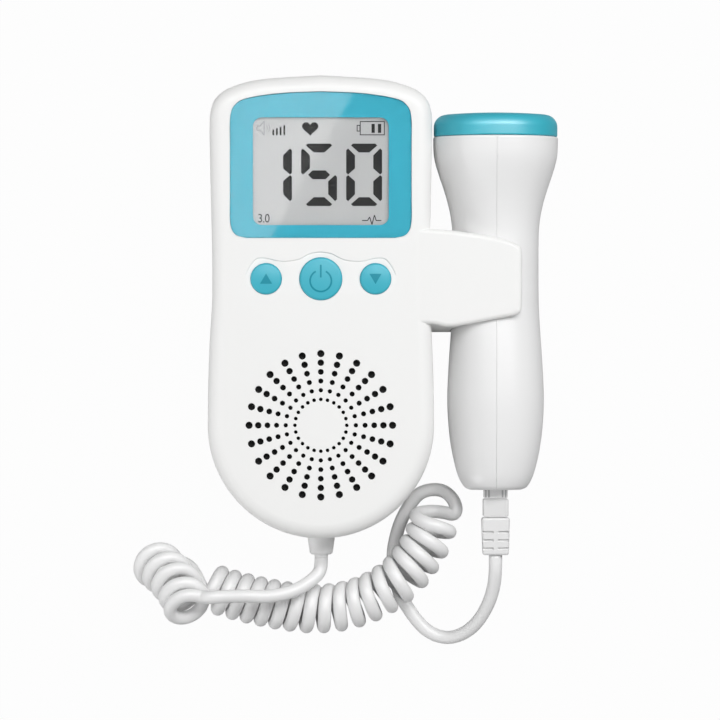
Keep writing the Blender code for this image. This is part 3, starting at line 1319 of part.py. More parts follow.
def cords(relief_end, boot_end):
    """Curly cord from the unit to the joint under the coil, and the lead from there to the plug."""
    back = curls(BACK_COIL, BACK_FIRST_ANGLE, BACK_TURNS, 0.0)
    raised = curls(RAISED_COIL, RAISED_FIRST_ANGLE, math.inf, RAISED_SKIP)
    back_head = (back[-1] - back[-2]).normalized()
    raised_head = (raised[1] - raised[0]).normalized()
    link = bridge(back[-1], back_head, raised[0], raised_head, LINK_PULL_BACK, LINK_PULL_RAISED, LINK_POINTS)
    relief = Vector((0.0, relief_end - GAP, SEAM_Z))
    unit_lead = lead(raised[-2:] + laid(UNIT_LEAD), UNIT_LEAD_POINTS, relief, Vector((0.0, 1.0, 0.0)))
    angle = math.radians(JOINT_ANGLE)
    joint_head = Vector((math.cos(angle), math.sin(angle), 0.0))
    joint = laid([JOINT])[0]
    loop = lead([back[1], back[0]] + laid(LOOP_LEAD), LOOP_LEAD_POINTS, joint, joint_head)
    whole = list(reversed(loop)) + back + link + raised + unit_lead
    tube("cord_curly", whole, CORD, 1, WHITE)
    start = joint + joint_head * GAP
    boot = Vector((PROBE_X, boot_end - GAP, PROBE_Z))
    on = start + joint_head * STRAIGHT_END
    probe_lead = lead([start, on] + laid(PROBE_LEAD), PROBE_LEAD_POINTS, boot, Vector((0.0, 1.0, 0.0)))
    probe_lead = [start, on] + probe_lead
    tube("cord_lead_probe", probe_lead, CORD, 1, WHITE)
    print("least gap of the curly cord to itself, mm:", round(least_gap(whole, 3 * CORD) / MM, 2))
    print("least gap of the probe's lead to itself, mm:", round(least_gap(probe_lead, 3 * CORD) / MM, 2))
    low = min(point.z for point in whole + probe_lead) - CORD / 2
    print("lowest point of the cord, mm:", round(low / MM, 2))


def centre_on_base():
    """Moves everything so that the middle of the base of unit and probe is the origin."""
    left = -BODY_RADIUS
    right = PROBE_X + HEAD_RADIUS
    low = -BODY_RADIUS
    high = BODY_TOP
    shift = Vector((-(left + right) / 2, -(low + high) / 2, 0.0))
    for piece in bpy.data.objects:
        piece.location += shift
    print("shift of the grille centre, mm:", [round(value / MM, 3) for value in shift])


def main():
    """Builds the whole assembly."""
    for old in list(bpy.data.objects):
        bpy.data.objects.remove(old, do_unlink=True)
    bpy.context.scene.collection.children.link(PARTS)
    bpy.context.scene.collection.children.link(CUTTERS)
    front_housing()
    rear_housing()
    battery_cover()
    display()
    buttons()
    speaker()
    board()
    screws()
    batteries()
    probe()
    boot_end = plug()
    relief_end = strain_relief()
    cords(relief_end, boot_end)
    centre_on_base()


main()
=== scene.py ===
"""Looks of a pocket fetal heartbeat detector: main unit, probe in its clip, curly cord and plug.

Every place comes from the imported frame: the middle of the speaker grille, on the table, is the zero
that the sizes below are counted from, in metres, with +Y towards the display and +X towards the probe.
"""
import logging
import math
from dataclasses import dataclass, field
from enum import Enum
from typing import Callable, Sequence

import bpy
from mathutils import Matrix, Vector


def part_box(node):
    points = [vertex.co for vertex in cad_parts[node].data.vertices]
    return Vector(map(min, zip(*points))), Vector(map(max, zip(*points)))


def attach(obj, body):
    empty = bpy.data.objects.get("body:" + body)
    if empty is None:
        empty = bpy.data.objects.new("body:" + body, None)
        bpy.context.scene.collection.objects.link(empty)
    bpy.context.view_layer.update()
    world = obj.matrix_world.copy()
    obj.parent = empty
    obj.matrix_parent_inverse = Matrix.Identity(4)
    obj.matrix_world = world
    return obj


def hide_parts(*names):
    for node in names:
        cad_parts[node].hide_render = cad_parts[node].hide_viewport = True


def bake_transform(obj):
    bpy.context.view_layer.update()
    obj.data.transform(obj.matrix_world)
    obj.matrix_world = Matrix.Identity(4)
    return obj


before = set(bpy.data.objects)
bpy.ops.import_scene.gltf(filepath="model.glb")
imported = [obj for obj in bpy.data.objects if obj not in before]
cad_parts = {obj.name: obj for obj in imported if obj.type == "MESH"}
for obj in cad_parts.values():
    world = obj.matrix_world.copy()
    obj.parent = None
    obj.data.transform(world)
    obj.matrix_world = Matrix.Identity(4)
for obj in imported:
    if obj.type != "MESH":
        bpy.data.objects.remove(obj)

Piece = bpy.types.Object
Tree = bpy.types.NodeTree
Node = bpy.types.Node
Socket = bpy.types.NodeSocket
Pairs = Sequence[tuple[float, float]]

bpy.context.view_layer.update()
LOG = logging.getLogger("fetal_doppler")

MM = 0.001
# The usual play between pieces, the least step between faces, and how far a cutter reaches past a face
GAP = 0.3 * MM
HAIR = 0.02 * MM
OVERLAP = 0.5 * MM
# A turned profile's ends stop this far from its axis, where a cap closes them
PINHOLE = 0.1 * MM
# Points closer than this are one point
TOUCHING = 0.001 * MM
UP = Vector((0.0, 0.0, 1.0))
ALONG = Vector((0.0, 1.0, 0.0))
ACROSS = Vector((1.0, 0.0, 0.0))

cloth_low, cloth_high = (Vector(corner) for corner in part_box("speaker_cloth"))
ZERO = Vector(((cloth_low.x + cloth_high.x) / 2, (cloth_low.y + cloth_high.y) / 2, 0.0))


class Body(Enum):
    """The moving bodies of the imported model."""

    UNIT = "main_unit"
    POWER = "power_key"
    VOLUME_UP = "volume_up_key"
    VOLUME_DOWN = "volume_down_key"
    DOOR = "battery_door"
    PROBE = "probe"
    PLUG = "plug"


class Slot(Enum):
    """The record's material slots that the pieces take their finish from."""

    WHITE = "white_shell"
    TEAL = "teal_plastic"
    CORD = "white_cord"
    LENS = "clear_lens"
    PRINT = "teal_print"
    LCD = "lcd"
    STEEL = "steel"
    CLEAR = "clear_plug"
    CELL = "cell"


def box_of(node: str) -> tuple[Vector, Vector]:
    """Gives a node's lowest and highest corners counted from the grille's middle, in metres."""
    low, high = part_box(node)
    return Vector(low) - ZERO, Vector(high) - ZERO


def flat(x: float, y: float) -> Vector:
    """Gives a point seen from the front, at the height of the table."""
    return Vector((x, y, 0.0))


def middle_of(node: str) -> Vector:
    """Gives the middle of a node seen from the front, at the height of the table."""
    low, high = box_of(node)
    return flat((low.x + high.x) / 2, (low.y + high.y) / 2)


def linear(code: str) -> tuple[float, float, float, float]:
    """Turns an sRGB hex colour into linear light.

    Args:
        code: Six hex digits, such as "45B1C8".

    Returns:
        Red, green, blue and an alpha of 1.
    """
    values = []
    for start in (0, 2, 4):
        share = int(code[start:start + 2], 16) / 255
        values.append(share / 12.92 if share <= 0.04045 else ((share + 0.055) / 1.055) ** 2.4)
    return (values[0], values[1], values[2], 1.0)


def new_material(name: str) -> tuple[bpy.types.Material, Tree]:
    """Makes a material of nodes and gives it with its node tree."""
    made = bpy.data.materials.new(name)
    made.use_nodes = True
    return made, made.node_tree


def add_node(tree: Tree, kind: str, links: dict | None = None, **settings) -> Node:
    """Adds one node with its settings and the links into it.

    Args:
        tree: The node tree to add to.
        kind: Blender's name of the node type.
        links: Socket name or number of the new node, with the output socket that feeds it.
        settings: Attributes of the node, or values of its inputs, with spaces written as underscores.

    Returns:
        The new node.
    """
    node = tree.nodes.new(kind)
    for name, value in settings.items():
        if hasattr(node, name):
            setattr(node, name, value)
        else:
            node.inputs[name.replace("_", " ")].default_value = value
    for socket, source in (links or {}).items():
        tree.links.new(source, node.inputs[socket])
    return node


@dataclass(frozen=True)
class Finish:
    """One real finish: what it is made of, how its surface was made, and how coarse its grain is.

    Colours are sRGB hex. Grain and cloud sizes are real lengths; grain_deep is the depth of its bumps.
    """

    name: str
    colour: str
    rough: float
    rough_spread: float = 0.04
    metallic: float = 0.0
    ior: float = 1.46
    clear: float = 0.0
    coat: float = 0.0
    coat_rough: float = 0.05
    gleam: float = 0.5
    shade: str | None = None
    cloud: float = 18.0 * MM
    grain: float = 0.5 * MM
    grain_deep: float = 0.004 * MM
    stretch: tuple[float, float, float] = (1.0, 1.0, 1.0)

    def build(self) -> bpy.types.Material:
        """Makes the material: clouds of colour and roughness, and grain as bumps, on object coordinates.

        Returns:
            The new material.
        """
        made, tree = new_material(self.name)
        shader = tree.nodes["Principled BSDF"]
        shader.inputs["Metallic"].default_value = self.metallic
        if not self.metallic:
            shader.inputs["IOR"].default_value = self.ior
        shader.inputs["Specular IOR Level"].default_value = self.gleam
        shader.inputs["Transmission Weight"].default_value = self.clear
        shader.inputs["Coat Weight"].default_value = self.coat
        shader.inputs["Coat Roughness"].default_value = self.coat_rough
        coords = add_node(tree, "ShaderNodeTexCoord")
        mapping = add_node(tree, "ShaderNodeMapping", {"Vector": coords.outputs["Object"]},
                           Scale=self.stretch)
        cloud = add_node(tree, "ShaderNodeTexNoise", {"Vector": mapping.outputs["Vector"]},
                         Scale=1 / self.cloud, Detail=3.0)
        colour = self.pattern(tree, mapping, cloud)
        tree.links.new(colour, shader.inputs["Base Color"])
        low = max(0.0, self.rough - self.rough_spread)
        rough = add_node(tree, "ShaderNodeMapRange", {"Value": cloud.outputs["Fac"]},
                         To_Min=low, To_Max=self.rough + self.rough_spread)
        tree.links.new(rough.outputs["Result"], shader.inputs["Roughness"])
        grain = self.relief(tree, mapping)
        bump = add_node(tree, "ShaderNodeBump", {"Height": grain}, Strength=1.0, Distance=self.grain_deep)
        tree.links.new(bump.outputs["Normal"], shader.inputs["Normal"])
        return made

    def pattern(self, tree: Tree, mapping: Node, cloud: Node) -> Socket:
        """Gives the socket of the surface colour: two near shades in soft clouds."""
        return self.two_shades(tree, cloud.outputs["Fac"])

    def two_shades(self, tree: Tree, share: Socket) -> Socket:
        """Gives the socket of the finish's two shades, mixed by a share."""
        mix = add_node(tree, "ShaderNodeMix", {0: share}, data_type="RGBA")
        mix.inputs[6].default_value = linear(self.colour)
        mix.inputs[7].default_value = linear(self.shade or self.colour)
        return mix.outputs[2]

    @staticmethod
    def bands(tree: Tree, mapping: Node, axis: str, width: float) -> Socket:
        """Gives the socket of soft light and dark bands, each about width across, that follow an axis."""
        wave = add_node(tree, "ShaderNodeTexWave", {"Vector": mapping.outputs["Vector"]},
                        bands_direction=axis, Scale=1 / (width * math.tau))
        return wave.outputs["Fac"]

    def relief(self, tree: Tree, mapping: Node) -> Socket:
        """Gives the socket of the surface relief: fine random grain."""
        grain = add_node(tree, "ShaderNodeTexNoise", {"Vector": mapping.outputs["Vector"]},
                         Scale=1 / self.grain, Detail=2.0)
        return grain.outputs["Fac"]


@dataclass(frozen=True)
class WovenCloth(Finish):
    """Plain weave: threads cross over and under, drawn at twice the real spacing so that it shows."""

    thread: float = 0.5 * MM

    def relief(self, tree: Tree, mapping: Node) -> Socket:
        """Gives the relief of the crossing threads."""
        warp = self.bands(tree, mapping, "X", self.thread)
        weft = self.bands(tree, mapping, "Y", self.thread)
        both = add_node(tree, "ShaderNodeMath", {0: warp, 1: weft}, operation="MULTIPLY")
        return both.outputs[0]


@dataclass(frozen=True)
class StripedRubber(Finish):
    """Layered rubber strip: conducting and insulating layers side by side along X.

    The layers are drawn several times wider than the real ones, so that they show as stripes.
    """

    layer: float = 0.6 * MM

    def pattern(self, tree: Tree, mapping: Node, cloud: Node) -> Socket:
        """Gives the striped colour."""
        return self.two_shades(tree, self.bands(tree, mapping, "X", self.layer))


@dataclass(frozen=True)
class PrintedBoard(Finish):
    """Glass-fibre board under solder mask: long plain fields with lighter straight tracks between them."""

    track: float = 1.2 * MM

    def pattern(self, tree: Tree, mapping: Node, cloud: Node) -> Socket:
        """Gives the green of the mask, lighter over the copper."""
        sized = add_node(tree, "ShaderNodeMapping", {"Vector": mapping.outputs["Vector"]},
                         Scale=(1 / self.track,) * 3)
        cells = add_node(tree, "ShaderNodeTexBrick", {"Vector": sized.outputs["Vector"]}, offset=0.5,
                         Scale=1.0, Mortar_Size=0.22, Brick_Width=5.0, Row_Height=1.0)
        cells.inputs["Color1"].default_value = linear(self.colour)
        cells.inputs["Color2"].default_value = linear(self.colour)
        cells.inputs["Mortar"].default_value = linear(self.shade or self.colour)
        return cells.outputs["Color"]


# Acrylonitrile butadiene styrene, moulded in a spark-eroded tool: satin white with a very fine grain,
# drawn at half a millimetre so that it shows at all
SHELL_ABS = Finish("moulded_white_abs", "F2F2F1", 0.48, gleam=0.3, shade="F0F0EF", grain_deep=0.005 * MM)
# The same from a polished tool, for the probe's handle: sharper gleams
PROBE_ABS = Finish("polished_white_abs", "F0F0F0", 0.3, shade="ECECEC", grain=1.4 * MM,
                   grain_deep=0.003 * MM)
# Blue-green ABS of the keys: an even satin
KEY_ABS = Finish("satin_teal_abs", "3DB2C6", 0.42, shade="3AAEC2", gleam=0.35, grain=0.6 * MM)
# Blue-green ABS of the probe's cap: hardly any grain, and a gleam that is strong but soft
CAP_ABS = Finish("polished_teal_abs", "14ADC1", 0.42, rough_spread=0.02, gleam=1.0, shade="12A9BD",
                 grain=2.0 * MM, grain_deep=0.001 * MM)
# Pad-printed ink on the keys: darker and flatter than their plastic
KEY_INK = Finish("teal_key_ink", "188FA3", 0.5, shade="168CA0", gleam=0.2, grain=0.3 * MM)
# Polyester film, screen printed on its back: the gleam is its flat face
WINDOW_PRINT = Finish("screen_printed_polyester", "3FA0B5", 0.02, rough_spread=0.005, shade="3E9EB3",
                      grain=3.0 * MM, grain_deep=0.0001 * MM)
# Cast acrylic window with a coating against reflections: clear, with no grain to see
WINDOW_ACRYLIC = Finish("coated_cast_acrylic", "FFFFFF", 0.015, rough_spread=0.005, ior=1.1, clear=1.0,
                        grain=6.0 * MM, grain_deep=0.0002 * MM)
# Reflective liquid crystal display: grey polariser film, optically flat
DISPLAY_FILM = Finish("grey_polariser_film", "B0B1B1", 0.02, rough_spread=0.005, shade="AEAFAF",
                      grain=3.0 * MM, grain_deep=0.0001 * MM)
# Liquid crystal that is switched on: dark and without a gleam
DISPLAY_INK = Finish("dark_liquid_crystal", "343434", 0.55, shade="313131", gleam=0.0, grain=0.4 * MM)
# Liquid crystal that is half switched on: faint lines
DISPLAY_LINE = Finish("pale_liquid_crystal", "6E7072", 0.55, shade="686A6C", grain=0.4 * MM)
# Soft vinyl jacket of the cord, drawn through a die: satin, with a faint relief left in it
CORD_VINYL = Finish("soft_white_vinyl", "EDEDED", 0.46, shade="E6E6E6", cloud=9.0 * MM, grain=0.8 * MM,
                    grain_deep=0.008 * MM)
# Vinyl moulded over the plug's end: as satin as the cord, a little greyer
RELIEF_VINYL = Finish("moulded_white_vinyl", "E4E4E4", 0.44, shade="DFDFDF", cloud=6.0 * MM,
                      grain=0.6 * MM)
# Vinyl moulded round the cord at the unit's foot: a satin painted whiter than the cord, as light that
# offsets the unit's shadow over it
SLEEVE_VINYL_PAINTED_LIGHT = Finish("vinyl_painted_lighter", "F6F6F6", 0.44, shade="F1F1F1", cloud=6.0 * MM,
                      grain=0.6 * MM)
# ABS of the plug's housing: a greyer white than the vinyl
PLUG_ABS = Finish("moulded_grey_white_abs", "DDDDDD", 0.4, shade="D8D8D8", cloud=6.0 * MM, grain=0.6 * MM)
# Polycarbonate of the plug's tongue: milky, so that little shows through
PLUG_CLEAR = Finish("smoky_polycarbonate", "F9F9F9", 0.2, shade="F4F4F4", ior=1.58, clear=0.08,
                    grain=1.5 * MM, grain_deep=0.002 * MM)
# The same polycarbonate in the ridges along the tongue: painted grey as the shade that the clear plastic
# shows seen edge-on
PLUG_SHADE = Finish("polycarbonate_painted_shade", "BCBDBE", 0.25, shade="B2B3B4", ior=1.58, grain=1.0 * MM)
# Gold over bronze, for the plug's contacts: warm and bright
GOLD = Finish("gold_plated_bronze", "E2B65A", 0.22, metallic=1.0, shade="D9AB4E")
# Zinc-plated steel: its marks are drawn out along Z
ZINC_STEEL = Finish("zinc_plated_steel", "C9CBCC", 0.32, metallic=1.0, shade="BFC1C3", cloud=4.0 * MM,
                    grain=0.4 * MM, grain_deep=0.006 * MM, stretch=(1.0, 1.0, 0.2))
# Nickel-plated steel of springs and contacts: warmer and brighter than zinc
NICKEL = Finish("nickel_plated_steel", "D2D0CA", 0.24, metallic=1.0, shade="C8C6C0", cloud=5.0 * MM)
# Moulded nylon of sockets and plungers: matt black
PIT_BLACK = Finish("black_moulded_nylon", "1B1B1C", 0.5, shade="161617", grain_deep=0.01 * MM)
# Moulded epoxy of the chips: matt black, a shade lighter than the nylon
EPOXY_BLACK = Finish("black_moulded_epoxy", "202122", 0.55, shade="1B1C1D", grain=0.4 * MM,
                     grain_deep=0.01 * MM)
# Polystyrene of the display's frame: plain matt white
INNER_WHITE = Finish("plain_white_polystyrene", "E4E4E2", 0.5, shade="DEDEDC", grain=0.7 * MM)
# Woven polyester behind the speaker holes: so dark and rough that they look black
GRILLE_CLOTH = WovenCloth("black_woven_polyester", "0B0B0B", 0.9, shade="070707", cloud=3.0 * MM,
                          grain_deep=0.12 * MM)
# Solder mask on the boards: deep green, a soft gleam
BOARD_MASK = PrintedBoard("green_solder_mask", "1D5B34", 0.35, shade="2E7A48")
# Silicone of the display's connector: dark red and black stripes
STRIP_RUBBER = StripedRubber("striped_silicone", "6B2F3C", 0.6, shade="2A2A2C")
# Rubber filled with metal powder, behind the crystals: dull and coarse
BACKING_RUBBER = Finish("dark_loaded_rubber", "2A2528", 0.7, shade="231F22", grain=0.8 * MM,
                        grain_deep=0.02 * MM)
# Piezo ceramic under a coat of fired silver: pale, warm and half dull
CRYSTAL_SILVER = Finish("silvered_piezo_ceramic", "CFCBBE", 0.35, shade="C4BFB0", cloud=3.0 * MM,
                        grain=0.4 * MM)
# Pressed pulp paper of the speaker's cone: black and rough
CONE_PAPER = Finish("black_pulp_paper", "17171A", 0.85, shade="101012", cloud=3.0 * MM, grain=0.6 * MM,
                    grain_deep=0.05 * MM)
# Sintered ferrite of the magnet: dark grey, dull and gritty
FERRITE = Finish("sintered_ferrite", "3A3B3D", 0.6, shade="313234", cloud=4.0 * MM, grain_deep=0.02 * MM)
# Plastic sleeve shrunk round each cell: nearly black under a clear film
CELL_SLEEVE = Finish("shrunk_dark_sleeve", "2A2C30", 0.3, shade="25272B", coat=0.3, cloud=14.0 * MM,
                     grain=3.0 * MM)
# The sleeve's band, printed in metal powder under the same film: copper-coloured
CELL_BAND = Finish("shrunk_copper_sleeve", "C98A4B", 0.3, metallic=0.6, shade="C08244", coat=0.3,
                   grain=3.0 * MM)

BUILT: dict[str, bpy.types.Material] = {}


def dressed(piece: Piece, *finishes: Finish) -> Piece:
    """Gives a piece its finishes, each made once, in the order of its material slots."""
    piece.data.materials.clear()
    for finish in finishes:
        if finish.name not in BUILT:
            BUILT[finish.name] = finish.build()
        piece.data.materials.append(BUILT[finish.name])
    return piece


def smooth_line(points: Sequence[Vector], steps: int | Sequence[int]) -> list[Vector]:
    """Gives points of a smooth curve through the given ones.

    Args:
        points: The points to pass through.
        steps: Steps from each point to the next, one count or a row of them.

    Returns:
        The points of the curve, both ends among them.
    """
    counts = [steps] * (len(points) - 1) if isinstance(steps, int) else list(steps)
    row = [points[0] * 2 - points[1], *points, points[-1] * 2 - points[-2]]
    line = []
    for before, start, end, after, count in zip(row, row[1:], row[2:], row[3:], counts):
        for step in range(count):
            t = step / count
            line.append(0.5 * (start * 2 + (end - before) * t
                               + (before * 2 - start * 5 + end * 4 - after) * t ** 2
                               + (start * 3 - before - end * 3 + after) * t ** 3))
    line.append(points[-1].copy())
    return line


def spaced(line: Sequence[Vector], count: int) -> list[Vector]:
    """Gives count points evenly spaced along a line of many points."""
    along = [0.0]
    for start, end in zip(line, line[1:]):
        along.append(along[-1] + (end - start).length)
    result = []
    at = 0
    for index in range(count):
        goal = along[-1] * index / (count - 1)
        while at < len(line) - 2 and along[at + 1] < goal:
            at += 1
        share = (goal - along[at]) / (along[at + 1] - along[at])
        result.append(line[at].lerp(line[at + 1], share))
    return result


def length_of(line: Sequence[Vector]) -> float:
    """Gives the length of a line."""
    return sum((end - start).length for start, end in zip(line, line[1:]))


def grown(outline: Sequence[Vector], amount: float) -> list[Vector]:
    """Gives a clockwise outline moved outwards by amount."""
    result = []
    for index, point in enumerate(outline):
        before = (point - outline[index - 1]).normalized()
        after = (outline[(index + 1) % len(outline)] - point).normalized()
        outward = flat(-before.y - after.y, before.x + after.x).normalized()
        square = max(0.5, outward.dot(flat(-before.y, before.x)))
        result.append(point + outward * (amount / square))
    return result


def mirrored(half: Sequence[Vector]) -> list[Vector]:
    """Gives a closed outline from its right half, listed from the top middle to the bottom middle."""
    left = [flat(-point.x, point.y) for point in reversed(half) if abs(point.x) > HAIR]
    return list(half) + left


def rounded_box(half_x: float, low_y: float, high_y: float, corner: float, steps: int = 8) -> list[Vector]:
    """Gives a clockwise rectangle with round corners, its middle on the Y axis."""
    x = half_x - corner
    centres = ((x, high_y - corner), (x, low_y + corner), (-x, low_y + corner), (-x, high_y - corner))
    outline = []
    for quarter, (centre_x, centre_y) in enumerate(centres):
        for step in range(steps + 1):
            angle = math.pi / 2 * (1 - quarter - step / steps)
            x_out, y_out = corner * math.cos(angle), corner * math.sin(angle)
            outline.append(flat(centre_x + x_out, centre_y + y_out))
    return outline


def arc(centre: tuple[float, float], radius: float, start: float, end: float, steps: int) -> Pairs:
    """Gives pairs along an arc, with angles in degrees."""
    pairs = []
    for step in range(steps + 1):
        angle = math.radians(start + (end - start) * step / steps)
        pairs.append((centre[0] + radius * math.cos(angle), centre[1] + radius * math.sin(angle)))
    return pairs


def domed(edge: float, rise: float, reach: float, shares: Sequence[float]) -> Pairs:
    """Gives pairs of height and radius up a low dome, at shares of its reach from the middle."""
    return [(edge + rise * (1.0 - share ** 2), reach * share) for share in shares]


class Bench:
    """Blender's edit tools, used on one piece at a time. Places are counted from the grille's middle."""

    @staticmethod
    def choose(piece: Piece) -> None:
        """Selects one piece and nothing else."""
        bpy.ops.object.select_all(action="DESELECT")
        piece.select_set(True)
        bpy.context.view_layer.objects.active = piece

    @staticmethod
    def named(piece: Piece, name: str) -> Piece:
        """Gives a piece and its data one name."""
        piece.name = name
        piece.data.name = name
        return piece

    @staticmethod
    def edit(piece: Piece, work: Callable[[], None], pick: Callable | None = None,
             kind: str = "VERT") -> None:
        """Runs edit-mode work on the whole piece, or on what pick chooses.

        Args:
            piece: The piece to work on.
            work: Calls the edit operators.
            pick: Says of a vertex, edge or face whether it is selected, or None for all.
            kind: "VERT", "EDGE" or "FACE".
        """
        Bench.choose(piece)
        bpy.ops.object.mode_set(mode="EDIT")
        bpy.ops.mesh.select_mode(type=kind)
        bpy.ops.mesh.select_all(action="SELECT" if pick is None else "DESELECT")
        if pick is not None:
            bpy.ops.object.mode_set(mode="OBJECT")
            mesh = piece.data
            rows = {"VERT": mesh.vertices, "EDGE": mesh.edges, "FACE": mesh.polygons}[kind]
            for row in rows:
                row.select = bool(pick(row))
            bpy.ops.object.mode_set(mode="EDIT")
        work()
        bpy.ops.object.mode_set(mode="OBJECT")

    @staticmethod
    def bevel(piece: Piece, width: float, segments: int, pick: Callable | None = None) -> None:
        """Rounds all edges of a piece, or those that pick chooses."""
        Bench.edit(piece, lambda: bpy.ops.mesh.bevel(offset=width, segments=segments, affect="EDGES",
                                                     clamp_overlap=False), pick=pick, kind="EDGE")

    @staticmethod
    def edges_at(piece: Piece, height: float) -> Callable:
        """Gives a pick that chooses a piece's edges at one height."""
        def lies(edge: bpy.types.MeshEdge) -> bool:
            return all(abs(piece.data.vertices[index].co.z - height) < HAIR for index in edge.vertices)

        return lies

    @staticmethod
    def ring(name: str, outline: Sequence[Vector], filled: bool = True) -> Piece:
        """Adds a circle and pulls its points onto an outline."""
        bpy.ops.object.select_all(action="DESELECT")
        bpy.ops.mesh.primitive_circle_add(vertices=len(outline), radius=10 * MM,
                                          fill_type="NGON" if filled else "NOTHING")
        piece = Bench.named(bpy.context.active_object, name)
        for vertex, point in zip(piece.data.vertices, outline):
            vertex.co = point
        return piece

    @staticmethod
    def face_out(piece: Piece) -> None:
        """Merges doubled points and turns all faces outwards."""
        def work() -> None:
            bpy.ops.mesh.remove_doubles(threshold=TOUCHING)
            bpy.ops.mesh.normals_make_consistent(inside=False)

        Bench.edit(piece, work)

    @staticmethod
    def pulled(piece: Piece, move: tuple[float, float, float]) -> Piece:
        """Makes a flat face solid by extruding it along a straight line."""
        Bench.edit(piece, lambda: bpy.ops.mesh.extrude_region_move(
            TRANSFORM_OT_translate={"value": move}), kind="FACE")
        Bench.face_out(piece)
        return piece

    @staticmethod
    def slab(name: str, outline: Sequence[Vector], low: float, high: float) -> Piece:
        """Adds a straight solid on an outline between two heights."""
        piece = Bench.ring(name, [Vector((point.x, point.y, low)) for point in outline])
        return Bench.pulled(piece, (0.0, 0.0, high - low))

    @staticmethod
    def loft(name: str, rings: Sequence[Sequence[Vector]]) -> Piece:
        """Adds a solid by extruding its base ring by ring and pulling each new ring onto its outline.

        Args:
            name: The piece's name.
            rings: Outlines of equal counts with their heights, from one flat end to the other.

        Returns:
            The closed solid.
        """
        piece = Bench.ring(name, rings[0])
        Bench.choose(piece)
        bpy.ops.object.mode_set(mode="EDIT")
        bpy.ops.mesh.select_mode(type="FACE")
        bpy.ops.mesh.select_all(action="SELECT")
        for before, after in zip(rings, rings[1:]):
            bpy.ops.mesh.extrude_region_move(TRANSFORM_OT_translate={"value": (0.0, 0.0, 1.0)})
            bpy.ops.object.mode_set(mode="OBJECT")
            number = {(round(point.x, 7), round(point.y, 7)): index for index, point in enumerate(before)}
            for vertex in piece.data.vertices:
                if vertex.select:
                    vertex.co = after[number[(round(vertex.co.x, 7), round(vertex.co.y, 7))]]
            bpy.ops.object.mode_set(mode="EDIT")
        bpy.ops.object.mode_set(mode="OBJECT")
        Bench.face_out(piece)
        return piece

    @staticmethod
    def block(name: str, low: Sequence[float], high: Sequence[float], edge: float = 0.0,
              segments: int = 3) -> Piece:
        """Adds a box between two corners, with all its edges rounded."""
        bpy.ops.object.select_all(action="DESELECT")
        bpy.ops.mesh.primitive_cube_add(size=1.0)
        piece = Bench.named(bpy.context.active_object, name)
        for vertex in piece.data.vertices:
            for axis in range(3):
                vertex.co[axis] = low[axis] if vertex.co[axis] < 0 else high[axis]
        if edge:
            Bench.bevel(piece, edge, segments)
        return piece

    @staticmethod
    def between(name: str, corner: Sequence[float], other: Sequence[float], edge: float = 0.0,
                segments: int = 3) -> Piece:
        """Adds a box between any two opposite corners."""
        low = [min(pair) for pair in zip(corner, other)]
        high = [max(pair) for pair in zip(corner, other)]
        return Bench.block(name, low, high, edge, segments)

    @staticmethod
    def turned(name: str, profile: Pairs, centre: Vector, axis: Vector,
               steps: int = 64, sweep: float = math.tau, closed: bool = False) -> Piece:
        """Spins a profile about an axis.

        Args:
            name: The piece's name.
            profile: Pairs of the place along the axis and the radius.
            centre: The point on the axis that the places are counted from.
            axis: The axis to spin about.
            steps: Steps of the spin.
            sweep: Angle of the spin; negative turns the other way.
            closed: Whether the profile is a loop; an open one is capped at its two ends.

        Returns:
            The closed solid.
        """
        side = UP if abs(axis.z) < 0.5 else ACROSS
        if len(profile) == 2:
            (start, first), (end, second) = profile
            profile = [profile[0], ((start + end) / 2, (first + second) / 2), profile[1]]
        points = [Vector(centre) + axis * along + side * radius for along, radius in profile]
        piece = Bench.ring(name, points, filled=False)
        last = len(points) - 1
        if not closed:
            Bench.edit(piece, lambda: bpy.ops.mesh.delete(type="EDGE_FACE"),
                       pick=lambda edge: set(edge.vertices) == {0, last}, kind="EDGE")
        full = abs(abs(sweep) - math.tau) < 1e-6

        def spin() -> None:
            bpy.ops.mesh.spin(steps=steps, angle=sweep, use_auto_merge=full, center=tuple(centre),
                              axis=tuple(axis))

        def close() -> None:
            bpy.ops.mesh.remove_doubles(threshold=TOUCHING)
            bpy.ops.mesh.select_mode(type="EDGE")
            bpy.ops.mesh.select_all(action="DESELECT")
            bpy.ops.mesh.select_non_manifold(extend=False, use_wire=False, use_multi_face=False,
                                             use_non_contiguous=False, use_verts=False)
            bpy.ops.mesh.fill_holes(sides=0)
            bpy.ops.mesh.select_all(action="SELECT")
            bpy.ops.mesh.normals_make_consistent(inside=False)

        Bench.edit(piece, spin)
        Bench.edit(piece, close)
        return piece

    @staticmethod
    def tube(name: str, line: Sequence[Vector], radius: float, resolution: int) -> Piece:
        """Draws a round bar along a line, with a cap at each end."""
        data = bpy.data.curves.new(name, "CURVE")
        data.dimensions = "3D"
        data.bevel_depth = radius
        data.bevel_resolution = resolution
        data.use_fill_caps = True
        spline = data.splines.new("POLY")
        spline.points.add(len(line) - 1)
        for point, at in zip(spline.points, line):
            point.co = (*at, 1.0)
        piece = bpy.data.objects.new(name, data)
        bpy.context.scene.collection.objects.link(piece)
        Bench.choose(piece)
        bpy.ops.object.convert(target="MESH")
        piece = bpy.context.active_object
        Bench.face_out(piece)
        return piece

    @staticmethod
    def apply(piece: Piece, kind: str, **settings) -> None:
        """Adds one modifier with its settings and applies it."""
        Bench.choose(piece)
        step = piece.modifiers.new(kind.lower(), kind)
        for name, value in settings.items():
            setattr(step, name, value)
        bpy.ops.object.modifier_apply(modifier=step.name)

    @staticmethod
    def combine(piece: Piece, other: Piece, operation: str = "DIFFERENCE") -> None:
        """Cuts with, joins with or keeps what is common with another solid, which is used up."""
        Bench.apply(piece, "BOOLEAN", operation=operation, solver="EXACT", object=other)
        bpy.data.objects.remove(other, do_unlink=True)

